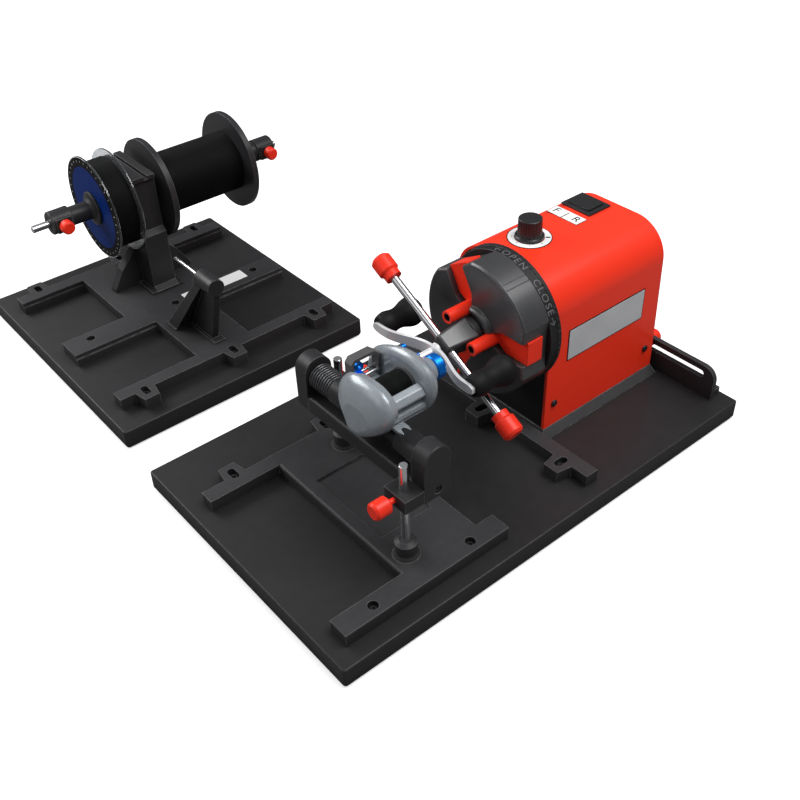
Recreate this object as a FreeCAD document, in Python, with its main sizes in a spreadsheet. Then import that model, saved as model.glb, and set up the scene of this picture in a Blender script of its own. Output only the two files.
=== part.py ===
import FreeCAD, Part
import math
import os
import re
import Sketcher

# Motorised fishing line winder: a winding board that carries a rod-butt cradle with a
# baitcasting reel and a geared motor head with a three-jaw chuck, and a separate spool
# board whose stand carries two supply spools on one axle and a line guide post.
# Origin: middle of the winding board's underside, +X from reel to motor, +Z up.

V = FreeCAD.Vector
doc = FreeCAD.newDocument("LineWinder")
sheet = doc.addObject("Spreadsheet::Sheet", "Sizes")
nodes = []

SIZES = {
    # boards
    "board_long": 500,
    "board_wide": 305,
    "board_thick": 22.5,
    "board_corner": 3,
    "board_foot_round": 5,
    "board_top_round": 1.5,
    "spool_board_long": 300,
    "spool_board_wide": 326,
    "spool_board_x": -91.5,
    "spool_board_y": 381.3,
    # screwed-down frames
    "rail_tall": 13,
    "fix_pitch": 106.3,
    "hole_round": 4.9,
    "slot_wide": 8,
    "slot_long": 15,
    "lug_root": 23,
    "lug_nose": 17,
    "screw_shank": 2.3,
    "screw_head": 3.7,
    "screw_head_tall": 4,
    "screw_sink": 8,
    "screw_bite": 14,
    "hole_gap": 0.15,
    "reel_frame_x": -144.5,
    "reel_frame_long": 178,
    "near_rail_y": -124.4,
    "near_rail_wide": 21.3,
    "far_rail_y": 72.2,
    "far_rail_wide": 16,
    "lug_reach": 16,
    "slot_shift": 10.8,
    "plate_wide": 84.3,
    "plate_edge_round": 3,
    "recess_deep": 1.6,
    "recess_wide": 56,
    "recess_long": 95,
    "recess_y": -23.5,
    # posts and cradle
    "post_round": 4,
    "post_top": 136,
    "post_sink": 9.5,
    "post_fit": 0.02,
    "near_post_x": -141,
    "near_post_y": -98.8,
    "far_post_x": -94.3,
    "far_post_y": 48.3,
    "boss_round": 10,
    "boss_foot": 13,
    "boss_foot_tall": 3.5,
    "boss_tall": 14.5,
    "boss_tip_round": 6,
    "boss_tip_tall": 2.5,
    "cradle_x": -117.2,
    "cradle_wide": 28.5,
    "cradle_near": -113.2,
    "cradle_far": 62.3,
    "bar_low": 97,
    "bar_tall": 15.7,
    "bar_round": 3,
    "cheek_thick": 16.4,
    "cheek_axis": 134.8,
    "block_wide": 20.4,
    "block_long": 27,
    "block_lift": 1,
    "block_tall": 13,
    "slide_fit": 0.08,
    "clamp_lift": 7.5,
    "clamp_stud": 2.5,
    "clamp_knob": 8,
    "clamp_knob_long": 16,
    "clamp_reach": 13,
    "cheek_screw_lift": 7.5,
    "cheek_screw_head": 4,
    # rod seat
    "seat_axis": 131,
    "seat_round": 8,
    "seat_wall": 1.6,
    "seat_bite": 8,
    "seat_fit": 0.05,
    "hood_round": 12,
    "hood_mouth_round": 11,
    "fixed_hood_mouth": -70,
    "slide_hood_mouth": -14,
    "slide_hood_end": 16,
    "hood_ribs": 24,
    "hood_rib_round": 0.9,
    "spring_round": 12.6,
    "spring_wire": 1.1,
    "spring_turns": 9,
    # reel
    "foot_wide": 11.6,
    "foot_thick": 2.6,
    "foot_near": -76,
    "foot_far": -8,
    "foot_gap": 0.1,
    "spool_y": -41,
    "spool_z": 158,
    "reel_left": -128,
    "reel_left_in": -121,
    "reel_right_in": -89.5,
    "reel_right": -84,
    "reel_spool_round": 14.8,
    "reel_drum_round": 8,
    "reel_line_round": 13.2,
    "reel_line_swell": 0.6,
    "reel_flange": 1.4,
    "reel_flange_slope": 1.5,
    "reel_pin": 2,
    "reel_pin_left": 5,
    "reel_pin_right": 4.5,
    "run_gap": 0.3,
    "palm_mid_y": -40,
    "palm_mid_z": 150,
    "palm_half_long": 33.5,
    "palm_half_tall": 30.5,
    "palm_deep": 14,
    "palm_drop": 5,
    "cover_mid_y": -28,
    "cover_mid_z": 152,
    "cover_half_long": 42,
    "cover_half_tall": 33,
    "cover_deep": 17.5,
    "cover_drop": 3,
    "shoulder": 2.5,
    "wall_low": 144.6,
    "tray_thick": 1.3,
    "tray_near": -64,
    "tray_far": -15.5,
    "sill_low": 145.4,
    "sill_high": 148.4,
    "cross_low": 146,
    "cross_high": 151.5,
    "cross_near": -66,
    "cross_far": -60,
    "main_shaft": 4,
    "shaft_boss": 9,
    "cap_boss_foot": 15.5,
    "cap_boss_tip": 10.6,
    "cap_pin": 5,
    "cap_pin_long": 3.5,
    "star_x": -60,
    "star_thick": 5,
    "star_hub": 7,
    "star_arm": 15.5,
    "star_tip": 2.4,
    "cap_x": -62,
    "cap_long": 10.5,
    "cap_round": 11.3,
    "arm_hub_x": -31.3,
    "arm_end_x": -44,
    "arm_thick": 3.2,
    "arm_reach": 61.3,
    "arm_hub_wide": 12.6,
    "arm_tip_wide": 8.6,
    "nut_tall": 4.6,
    "nut_round": 6.2,
    "knob_end_x": 4,
    "knob_round": 14,
    "knob_pin": 2,
    "knob_tip_wall": 11.4,
    "thumb_y": -58,
    "thumb_top": 167.5,
    "thumb_deep": 9.5,
    "thumb_tall": 10,
    "guide_y": -5,
    "guide_bar_round": 1.5,
    "guide_bar_apart": 6.4,
    "guide_bar_z": 155.3,
    "arch_deep": 9,
    "arch_thick": 3,
    "arch_low": 149,
    "arch_top": 176.5,
    "arch_bend_x": -96.5,
    "arch_right_z": 170.5,
    "eye_x": -110.5,
    "eye_wide": 7,
    "eye_loop_z": 165,
    "eye_loop_round": 4.4,
    "eye_loop_bore": 2,
    # motor head
    "chuck_y": -9,
    "chuck_z": 144,
    "head_rail_x": 49.6,
    "head_rail_wide": 15.2,
    "head_rail_long": 273,
    "bracket_x": 229.5,
    "bracket_thick": 5,
    "bracket_tall": 36,
    "bracket_long": 268,
    "bracket_corner": 14,
    "bracket_slot_low": 21.5,
    "bracket_slot_wide": 8,
    "bracket_slot_end": 13,
    "bracket_foot": 11.5,
    "bracket_foot_tall": 8,
    "head_y": 0.5,
    "head_wide": 123,
    "head_front": 64,
    "head_back": 223,
    "head_lean": 5,
    "head_top": 195,
    "head_round": 36,
    "base_tall": 9,
    "base_flare": 7,
    "base_front_flare": 5,
    "base_gap": 0.1,
    "shell_wall": 3,
    "upstand_thick": 8,
    "upstand_tall": 34,
    "side_screw_z": 58.3,
    "side_screw_inset": 10,
    "side_screw_round": 2,
    "side_screw_head": 3.8,
    "front_plate_thick": 3,
    "front_plate_inset": 0.8,
    "dial_x": 108.7,
    "dial_y": 13,
    "dial_top_round": 11.3,
    "dial_foot_round": 14,
    "dial_foot_tall": 4,
    "dial_tall": 20,
    "dial_gap": 0.5,
    "dial_flutes": 20,
    "dial_flute": 1.1,
    "dial_shaft": 3,
    "switch_x": 193.4,
    "switch_y": 19.7,
    "switch_long": 36.6,
    "switch_wide": 30.4,
    "switch_lip": 2.2,
    "switch_rim": 4.3,
    "switch_deep": 16,
    "rocker_gap": 0.9,
    "rocker_pivot_drop": 2,
    "rocker_pin": 1.5,
    "rocker_pin_bite": 1.6,
    "rocker_dip": 0.8,
    "lock_y": -45,
    "lock_z": 48,
    "lock_stud": 3,
    "lock_knob": 8,
    "lock_knob_long": 14.5,
    "inlet_y": 30,
    "inlet_z": 85,
    "inlet_round": 4.9,
    # chuck
    "spindle_round": 12,
    "spindle_long": 18,
    "spigot_long": 18,
    "chuck_hub_round": 29.7,
    "chuck_back": 63.4,
    "disc_front": 44,
    "disc_back": 50,
    "ring_front": 50.3,
    "ring_back": 63,
    "ring_round": 65.8,
    "ring_lip": 0.8,
    "lobe_front": 20.5,
    "lobe_round": 66,
    "lobe_end_round": 60.5,
    "lobe_band": 2.6,
    "lobe_facet": 37,
    "lobe_end": 49,
    "lobe_bevel": 1.6,
    "lobe_score": 0.5,
    "slot_neck_half": 6.9,
    "slot_neck_end": 23.5,
    "collar_round": 14,
    "collar_front": 18,
    "ridge_in": 17,
    "ridge_out": 22.5,
    "ridge_front": 15.5,
    "jaw_count": 3,
    "jaw_first": 60,
    "jaw_wide": 23.8,
    "jaw_gap": 0.3,
    "jaw_reach": 61,
    "jaw_front": 26,
    "jaw_tube_at": 21.2,
    "jaw_tube_round": 6.3,
    "jaw_tube_bore": 4,
    "jaw_tube_mouth": -5,
    "jaw_tube_deep": 22,
    "jaw_arm_half": 5.4,
    "jaw_shoulder": 10,
    "neck_back": 10,
    "neck_front": -22.3,
    "neck_back_half": 12,
    "neck_front_half": 9,
    "neck_corner": 3,
    "neck_bevel": 1.2,
    "neck_spigot": 6,
    "driver_x": -16.3,
    "driver_round": 4,
    "driver_half": 97,
    "driver_tilt": 28.25,
    "driver_cap_start": 79,
    "driver_cap_step": 86,
    "driver_cap_end": 103,
    "driver_cap_small": 8,
    "driver_cap_big": 10,
    # spool station
    "spool_frame_x": -90.4,
    "spool_frame_long": 269,
    "spool_near_y": 260.2,
    "spool_near_wide": 15.6,
    "spool_mid_y": 371,
    "spool_mid_wide": 32,
    "spool_far_y": 499.5,
    "spool_far_wide": 15.8,
    "stand_plate_left": -148.5,
    "stand_plate_right": -33,
    "rail_ledge": 1.8,
    "rail_ledge_drop": 5,
    "guide_plate_left": -126.5,
    "guide_plate_right": -60,
    "axle_y": 450,
    "axle_z": 141.5,
    "axle_round": 4,
    "axle_left": -203,
    "axle_right": 112,
    "stand_x": -82,
    "stand_wide": 28,
    "stand_near": 416,
    "stand_far": 492,
    "stand_top": 176,
    "stand_ledge": 111,
    "stand_groove": 4,
    "stand_groove_x": -79,
    "stand_cap": 5,
    "stand_lip": 3,
    "stand_wing": 50,
    "stand_wing_tall": 44,
    "stand_boss": 13,
    "spool_bore": 10,
    "spool_fit": 0.4,
    "boss_bite": 8,
    "filler_left": -130,
    "filler_right": -99,
    "filler_round": 58.5,
    "filler_flange": 1.8,
    "filler_hub": 16,
    "filler_line_round": 50,
    "bulk_left": -61,
    "bulk_right": 52,
    "bulk_round": 57,
    "bulk_flange": 6.5,
    "bulk_hub": 14,
    "bulk_line_round": 35,
    "collar_long": 53,
    "collar_neck": 10.5,
    "collar_block": 13,
    "collar_block_long": 23,
    "collar_flange": 19,
    "collar_flange_thick": 4.6,
    "collar_knob": 7.3,
    "collar_knob_long": 11,
    "collar_knob_off": 15,
    "guide_x": -94,
    "guide_boss_near": 260,
    "guide_boss_far": 290,
    "guide_boss_z": 109.5,
    "guide_boss_round": 9.8,
    "guide_rod_round": 2,
    "guide_rod_end": 344,
    "guide_rod_start": 268,
    "guide_web": 8,
    "guide_web_foot": 281,
    "guide_neck_half": 7.5,
    "guide_neck_deep": 12,
    "guide_foot_near": 271,
    "guide_foot_half": 7,
    "guide_foot_tall": 2,
    "guide_leg_near": 324,
    "guide_leg_far": 343,
    "guide_leg_half": 24.5,
    "guide_rim": 1.2,
}
for row, (alias, value) in enumerate(SIZES.items(), 1):
    sheet.set("A%d" % row, alias)
    sheet.set("B%d" % row, str(value))
    sheet.setAlias("B%d" % row, alias)
doc.recompute()


def bind(text):
    """Expression text with every size name pointed at its cell."""
    return re.sub(r"[a-z_]+", lambda m: "Sizes." + m.group(0) if m.group(0) in SIZES else m.group(0), text)


def val(text):
    """The number that an expression of sizes gives now."""
    return float(sheet.evalExpression(bind(text)))


def place(obj, x="0", y="0", z="0", axis=None, turn="0", spin="0"):
    """Position bound to sizes, after a spin about its own Z and a turn about an axis."""
    if axis:
        rotation = FreeCAD.Rotation(V(*axis), val(turn)) * FreeCAD.Rotation(V(0, 0, 1), val(spin))
        obj.Placement = FreeCAD.Placement(V(0, 0, 0), rotation)
    obj.setExpression(".Placement.Base.x", bind(x))
    obj.setExpression(".Placement.Base.y", bind(y))
    obj.setExpression(".Placement.Base.z", bind(z))
    return obj


def keep(obj, name):
    """Marks an object as one finished piece of the winder."""
    obj.Label = name
    nodes.append(obj)
    return obj


def new_body(name):
    return doc.addObject("PartDesign::Body", name)


def sketch_on(body, plane, lift="0"):
    """Empty sketch on one of the body's own origin planes, lifted along its normal."""
    sk = body.newObject("Sketcher::SketchObject", "Outline")
    for feature in body.Origin.OriginFeatures:
        if getattr(feature, "Role", "") == plane:
            sk.AttachmentSupport = [(feature, "")]
    sk.MapMode = "FlatFace"
    sk.setExpression(".AttachmentOffset.Base.z", bind(lift))
    return sk


def loop(sk, corners):
    """Closed straight-sided outline whose corners are all bound to sizes."""
    first = sk.GeometryCount
    spots = [V(val(cx), val(cy), 0) for cx, cy in corners]
    total = len(spots)
    for i in range(total):
        sk.addGeometry(Part.LineSegment(spots[i], spots[(i + 1) % total]), False)
    for i in range(total):
        sk.addConstraint(Sketcher.Constraint("Coincident", first + i, 2, first + (i + 1) % total, 1))
    for i, (cx, cy) in enumerate(corners):
        mark = sk.addConstraint(Sketcher.Constraint("DistanceX", -1, 1, first + i, 1, spots[i].x))
        sk.setExpression("Constraints[%d]" % mark, bind(cx))
        mark = sk.addConstraint(Sketcher.Constraint("DistanceY", -1, 1, first + i, 1, spots[i].y))
        sk.setExpression("Constraints[%d]" % mark, bind(cy))
    return sk


def ring(sk, cx, cy, radius):
    """Circle whose centre and radius are bound to sizes."""
    here = sk.GeometryCount
    centre = V(val(cx), val(cy), 0)
    sk.addGeometry(Part.Circle(centre, V(0, 0, 1), val(radius)), False)
    mark = sk.addConstraint(Sketcher.Constraint("DistanceX", -1, 1, here, 3, centre.x))
    sk.setExpression("Constraints[%d]" % mark, bind(cx))
    mark = sk.addConstraint(Sketcher.Constraint("DistanceY", -1, 1, here, 3, centre.y))
    sk.setExpression("Constraints[%d]" % mark, bind(cy))
    mark = sk.addConstraint(Sketcher.Constraint("Radius", here, val(radius)))
    sk.setExpression("Constraints[%d]" % mark, bind(radius))
    return sk


def slot(sk, cx, cy, long_size, wide_size, across):
    """Round-ended slot: its long way runs along the sketch's x axis, or y when across."""
    here = sk.GeometryCount
    half = val("(%s - %s)/2" % (long_size, wide_size))
    radius = val("(%s)/2" % wide_size)
    centre = V(val(cx), val(cy), 0)
    turn = math.pi / 2 if across else 0.0
    way = V(math.cos(turn), math.sin(turn), 0)
    side = V(-way.y, way.x, 0)
    ends = [centre + way * half, centre - way * half]
    sk.addGeometry(Part.ArcOfCircle(Part.Circle(ends[0], V(0, 0, 1), radius), turn - math.pi / 2,
                                    turn + math.pi / 2))
    sk.addGeometry(Part.LineSegment(ends[0] + side * radius, ends[1] + side * radius))
    sk.addGeometry(Part.ArcOfCircle(Part.Circle(ends[1], V(0, 0, 1), radius), turn + math.pi / 2,
                                    turn + 3 * math.pi / 2))
    sk.addGeometry(Part.LineSegment(ends[1] - side * radius, ends[0] - side * radius))
    for one, two, first_end, second_end in ((0, 1, 2, 1), (1, 2, 2, 1), (2, 3, 2, 1), (3, 0, 2, 1)):
        sk.addConstraint(Sketcher.Constraint("Tangent", here + one, first_end, here + two, second_end))
    sk.addConstraint(Sketcher.Constraint("Equal", here, here + 2))
    mark = sk.addConstraint(Sketcher.Constraint("Radius", here, radius))
    sk.setExpression("Constraints[%d]" % mark, bind("(%s)/2" % wide_size))
    reach = "(%s - %s)/2" % (long_size, wide_size)
    for arc, sign in ((0, "+"), (2, "-")):
        ax = cx if across else "%s %s %s" % (cx, sign, reach)
        ay = "%s %s %s" % (cy, sign, reach) if across else cy
        mark = sk.addConstraint(Sketcher.Constraint("DistanceX", -1, 1, here + arc, 3, val(ax)))
        sk.setExpression("Constraints[%d]" % mark, bind(ax))
        mark = sk.addConstraint(Sketcher.Constraint("DistanceY", -1, 1, here + arc, 3, val(ay)))
        sk.setExpression("Constraints[%d]" % mark, bind(ay))
    return sk


def settle(body, feature):
    """Makes a feature the body's tip and stops when it could not be made."""
    body.Tip = feature
    doc.recompute()
    if "Invalid" in feature.State or feature.Shape.isNull():
        raise RuntimeError("%s in %s: %s" % (feature.Label, body.Label, feature.getStatusString()))
    return feature


def pad(body, sk, length):
    feature = body.newObject("PartDesign::Pad", "Pad")
    feature.Profile = sk
    feature.setExpression("Length", bind(length))
    sk.Visibility = False
    return settle(body, feature)


def pocket(body, sk, length):
    """Cut against the sketch's normal; it has to take material away."""
    before = body.Shape.Volume
    feature = body.newObject("PartDesign::Pocket", "Pocket")
    feature.Profile = sk
    feature.setExpression("Length", bind(length))
    settle(body, feature)
    if body.Shape.Volume >= before:
        raise RuntimeError("pocket cut nothing in " + body.Label)
    return feature


def turned(body, corners):
    """Solid of revolution about the body's Z axis; corners are (radius, height)."""
    sk = loop(sketch_on(body, "XZ_Plane"), corners)
    feature = body.newObject("PartDesign::Revolution", "Turned")
    feature.Profile = sk
    feature.ReferenceAxis = (sk, ["V_Axis"])
    feature.Angle = 360
    return settle(body, feature)


def shape_in(body, kind, x="0", y="0", z="0", axis=None, turn="0", **sizes):
    """Additive or subtractive primitive feature inside a body."""
    before = body.Shape.Volume if body.Tip else 0.0
    feature = body.newObject("PartDesign::" + kind, kind)
    for prop, text in sizes.items():
        feature.setExpression(prop, bind(text))
    place(feature, x, y, z, axis, turn)
    settle(body, feature)
    if kind.startswith("Subtractive") and body.Shape.Volume >= before:
        raise RuntimeError("%s cut nothing in %s" % (kind, body.Label))
    return feature


def box_in(body, kind, x0, y0, z0, x1, y1, z1):
    """Box feature between two corners, each coordinate an expression."""
    spans = dict(Length="(%s)-(%s)" % (x1, x0), Width="(%s)-(%s)" % (y1, y0), Height="(%s)-(%s)" % (z1, z0))
    return shape_in(body, kind, x0, y0, z0, **spans)


def round_edges(body, chosen, radius, kind="Fillet"):
    """Fillet or chamfer on the edges that the test picks from the body's tip."""
    names = []
    base = body.Tip
    for number, edge in enumerate(base.Shape.Edges):
        if chosen(edge):
            names.append("Edge%d" % (number + 1))
    feature = body.newObject("PartDesign::" + kind, kind)
    feature.Base = (base, names)
    feature.setExpression("Radius" if kind == "Fillet" else "Size", bind(radius))
    return settle(body, feature)


def polar(body, feature, count, plane_axis="Z_Axis"):
    """Repeats a feature round one of the body's own axes."""
    pattern = body.newObject("PartDesign::PolarPattern", "Round")
    pattern.Originals = [feature]
    for origin_axis in body.Origin.OriginFeatures:
        if getattr(origin_axis, "Role", "") == plane_axis:
            pattern.Axis = (origin_axis, [""])
    pattern.Angle = 360
    pattern.setExpression("Occurrences", bind(count))
    return settle(body, pattern)


def along(edge, way):
    """True for a straight edge that runs along the given direction."""
    if not isinstance(edge.Curve, (Part.Line, Part.LineSegment)):
        return False
    step = edge.Vertexes[-1].Point - edge.Vertexes[0].Point
    return abs(abs(step.normalize().dot(V(*way))) - 1) < 1e-4


def at(edge, axis, value, slack=0.01):
    """True when the whole edge lies at one value of x, y or z."""
    box = edge.BoundBox
    low = (box.XMin, box.YMin, box.ZMin)[axis]
    high = (box.XMax, box.YMax, box.ZMax)[axis]
    return abs(low - value) < slack and abs(high - value) < slack


def join(name, kind, parts):
    """Boolean of whole objects: MultiFuse, MultiCommon, or Cut of the first by the second."""
    obj = doc.addObject("Part::" + kind, name)
    if kind == "Cut":
        obj.Base, obj.Tool = parts
    else:
        obj.Shapes = parts
    doc.recompute()
    return obj


def rod(name, radius, length, x, y, z, axis=None, turn="0"):
    obj = doc.addObject("Part::Cylinder", name)
    obj.setExpression("Radius", bind(radius))
    obj.setExpression("Height", bind(length))
    return place(obj, x, y, z, axis, turn)


def block(name, x0, y0, z0, x1, y1, z1):
    obj = doc.addObject("Part::Box", name)
    obj.setExpression("Length", bind("(%s)-(%s)" % (x1, x0)))
    obj.setExpression("Width", bind("(%s)-(%s)" % (y1, y0)))
    obj.setExpression("Height", bind("(%s)-(%s)" % (z1, z0)))
    return place(obj, x0, y0, z0)


ALONG_X = ((0, 1, 0), "90")
ALONG_Y = ((1, 0, 0), "-90")
TOP = "board_thick + rail_tall"

# ---------------------------------------------------------------- screw positions
steps = (-1, 0, 1)
reel_fixings = []
for side in (-0.5, 0.5):
    across = "reel_frame_x + fix_pitch*%s" % side
    reel_fixings.append((across, "near_rail_y"))
    reel_fixings.append((across, "far_rail_y + slot_shift"))
rail_fixings = [("head_rail_x - slot_shift + 1", "fix_pitch*%d" % i) for i in steps]
bracket_fixings = [("bracket_x + bracket_thick + bracket_foot/2", "fix_pitch*%d" % i) for i in steps]
spool_fixings = []
for i in steps:
    across = "spool_frame_x + fix_pitch*%d" % i
    spool_fixings.append((across, "spool_near_y - slot_shift + 1"))
    spool_fixings.append((across, "spool_mid_y + 3.5"))
    spool_fixings.append((across, "spool_far_y + slot_shift"))

# ---------------------------------------------------------------- boards


def board(name, long_size, wide_size, x, y, fixings):
    """Moulded slab with rounded corners, a large lower round and blind screw holes."""
    body = new_body(name)
    outline = [("-%s/2" % long_size, "-%s/2" % wide_size), ("%s/2" % long_size, "-%s/2" % wide_size),
               ("%s/2" % long_size, "%s/2" % wide_size), ("-%s/2" % long_size, "%s/2" % wide_size)]
    pad(body, loop(sketch_on(body, "XY_Plane"), outline), "board_thick")
    round_edges(body, lambda e: along(e, (0, 0, 1)), "board_corner")
    round_edges(body, lambda e: at(e, 2, 0), "board_foot_round")
    round_edges(body, lambda e: at(e, 2, val("board_thick")), "board_top_round")
    holes = sketch_on(body, "XY_Plane", "board_thick")
    for cx, cy in fixings:
        ring(holes, "%s - (%s)" % (cx, x), "%s - (%s)" % (cy, y), "screw_shank + hole_gap")
    pocket(body, holes, "screw_bite")
    place(body, x, y)
    return keep(body, name)


board("winding_board", "board_long", "board_wide", "0", "0", reel_fixings + rail_fixings + bracket_fixings)
board("spool_board", "spool_board_long", "spool_board_wide", "spool_board_x", "spool_board_y",
      spool_fixings)


def rail(body, x0, x1, y0, y1):
    """Flat bar of the frames' common height, lying on the board."""
    outline = [(x0, y0), (x1, y0), (x1, y1), (x0, y1)]
    pad(body, loop(sketch_on(body, "XY_Plane", "board_thick"), outline), "rail_tall")


def lug(body, cx, cy, way):
    """Tapered ear that carries a slotted screw hole; way is the side it points to."""
    nose = "%s + (%d)*lug_reach" % (cy, way)
    root = "%s - (%d)*1" % (cy, way)
    outline = [("%s - lug_root/2" % cx, root), ("%s + lug_root/2" % cx, root),
               ("%s + lug_nose/2" % cx, nose), ("%s - lug_nose/2" % cx, nose)]
    pad(body, loop(sketch_on(body, "XY_Plane", "board_thick"), outline), "rail_tall")


def fixing_holes(body, rounds, slots, across):
    """Counterbored screw holes: round ones, and slots for adjustment."""
    wide = sketch_on(body, "XY_Plane", TOP)
    deep = sketch_on(body, "XY_Plane", TOP)
    for cx, cy in rounds:
        ring(wide, cx, cy, "hole_round")
        ring(deep, cx, cy, "screw_shank + hole_gap")
    for cx, cy in slots:
        slot(wide, cx, cy, "slot_long", "slot_wide", across)
        slot(deep, cx, cy, "slot_long - slot_wide + 2*(screw_shank + hole_gap)",
             "2*(screw_shank + hole_gap)", across)
    pocket(body, wide, "screw_sink")
    pocket(body, deep, "rail_tall + 1")


# ---------------------------------------------------------------- reel frame
frame = new_body("reel_frame")
left = "reel_frame_x - reel_frame_long/2"
right = "reel_frame_x + reel_frame_long/2"
rail(frame, left, right, "near_rail_y - near_rail_wide/2", "near_rail_y + near_rail_wide/2")
rail(frame, "cradle_x - plate_wide/2", "cradle_x + plate_wide/2",
     "near_rail_y + near_rail_wide/2 - 0.5", "far_rail_y - far_rail_wide/2 + 0.5")
rail(frame, left, right, "far_rail_y - far_rail_wide/2", "far_rail_y + far_rail_wide/2")
for side in (-0.5, 0.5):
    lug(frame, "reel_frame_x + fix_pitch*%s" % side, "far_rail_y + far_rail_wide/2", 1)
round_edges(frame, lambda e: along(e, (0, 1, 0)) and at(e, 2, val(TOP)) and at(e, 0,
                                                                               val("cradle_x - plate_wide/2")),
            "plate_edge_round")
round_edges(frame, lambda e: at(e, 2, val(TOP)) and at(e, 1, val("near_rail_y - near_rail_wide/2")), "1")
fixing_holes(frame, reel_fixings[0::2], reel_fixings[1::2], True)
recess = [("cradle_x - recess_wide/2", "recess_y - recess_long/2"),
          ("cradle_x + recess_wide/2", "recess_y - recess_long/2"),
          ("cradle_x + recess_wide/2", "recess_y + recess_long/2"),
          ("cradle_x - recess_wide/2", "recess_y + recess_long/2")]
pocket(frame, loop(sketch_on(frame, "XY_Plane", TOP), recess), "recess_deep")
for px, py in (("near_post_x", "near_post_y"), ("far_post_x", "far_post_y")):
    shape_in(frame, "AdditiveCone", px, py, TOP + " - recess_deep", Radius1="boss_foot",
             Radius2="boss_round",
             Height="boss_foot_tall + recess_deep")
    shape_in(frame, "AdditiveCylinder", px, py, TOP, Radius="boss_round", Height="boss_tall")
    shape_in(frame, "AdditiveCone", px, py, TOP + " + boss_tall", Radius1="boss_round",
             Radius2="boss_tip_round",
             Height="boss_tip_tall")
    shape_in(frame, "SubtractiveCylinder", px, py, TOP + " - post_sink", Radius="post_round + post_fit",
             Height="post_sink + boss_tall + boss_tip_tall + 1")
keep(frame, "reel_frame")

posts = []
for px, py in (("near_post_x", "near_post_y"), ("far_post_x", "far_post_y")):
    post = new_body("Post")
    turned(post, [("0", "0"), ("post_round", "0"),
                  ("post_round", "post_top - board_thick - rail_tall + post_sink - 0.6"),
                  ("post_round - 0.6", "post_top - board_thick - rail_tall + post_sink"),
                  ("0", "post_top - board_thick - rail_tall + post_sink")])
    posts.append(place(post, px, py, TOP + " - post_sink"))
keep(join("posts", "MultiFuse", posts), "reel_posts")

# ---------------------------------------------------------------- cradle
bar_near = "cradle_near + cheek_thick"
bar_far = "cradle_far - cheek_thick"
clamp_z = "bar_low + clamp_lift"
cradle = new_body("cradle_bar")
bar_outline = [("cradle_x - cradle_wide/2", "bar_low"), ("cradle_x + cradle_wide/2", "bar_low"),
               ("cradle_x + cradle_wide/2", "bar_low + bar_tall"),
               ("cradle_x - cradle_wide/2", "bar_low + bar_tall")]
pad(cradle, loop(sketch_on(cradle, "XZ_Plane", "-(%s)" % bar_far), bar_outline),
    "(%s) - (%s)" % (bar_far, bar_near))
round_edges(cradle, lambda e: along(e, (0, 1, 0)) and at(e, 2, val("bar_low + bar_tall")), "bar_round")
box_in(cradle, "AdditiveBox", "cradle_x - cradle_wide/2 - block_wide", "cradle_near + 0.2",
       "bar_low + block_lift",
       "cradle_x - cradle_wide/2 - 0.05", "cradle_near + block_long", "bar_low + block_lift + block_tall")
box_in(cradle, "AdditiveBox", "cradle_x - cradle_wide/2 - 1", bar_near, "bar_low + block_lift",
       "cradle_x - cradle_wide/2 + 1", "cradle_near + block_long", "bar_low + block_lift + block_tall")
box_in(cradle, "AdditiveBox", "cradle_x + cradle_wide/2 + 0.05", "cradle_far - block_long",
       "bar_low + block_lift",
       "cradle_x + cradle_wide/2 + block_wide", "cradle_far - 0.2", "bar_low + block_lift + block_tall")
box_in(cradle, "AdditiveBox", "cradle_x + cradle_wide/2 - 1", "cradle_far - block_long",
       "bar_low + block_lift",
       "cradle_x + cradle_wide/2 + 1", bar_far, "bar_low + block_lift + block_tall")
for px, py, way in (("near_post_x", "near_post_y", -1), ("far_post_x", "far_post_y", 1)):
    shape_in(cradle, "SubtractiveCylinder", px, py, "bar_low - 1", Radius="post_round + slide_fit",
             Height="bar_tall + 4")
    shape_in(cradle, "SubtractiveCylinder", px, py, clamp_z, (0, 1, 0), "%d" % (90 * way),
             Radius="clamp_stud + hole_gap", Height="block_wide")
for end, way in ((bar_near, 1), (bar_far, -1)):
    start = end if way > 0 else "%s - 14" % end
    shape_in(cradle, "SubtractiveCylinder", "cradle_x", start, "bar_low + cheek_screw_lift", (1, 0, 0),
             "-90",
             Radius="screw_shank + hole_gap", Height="14")
keep(cradle, "cradle_bar")

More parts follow.
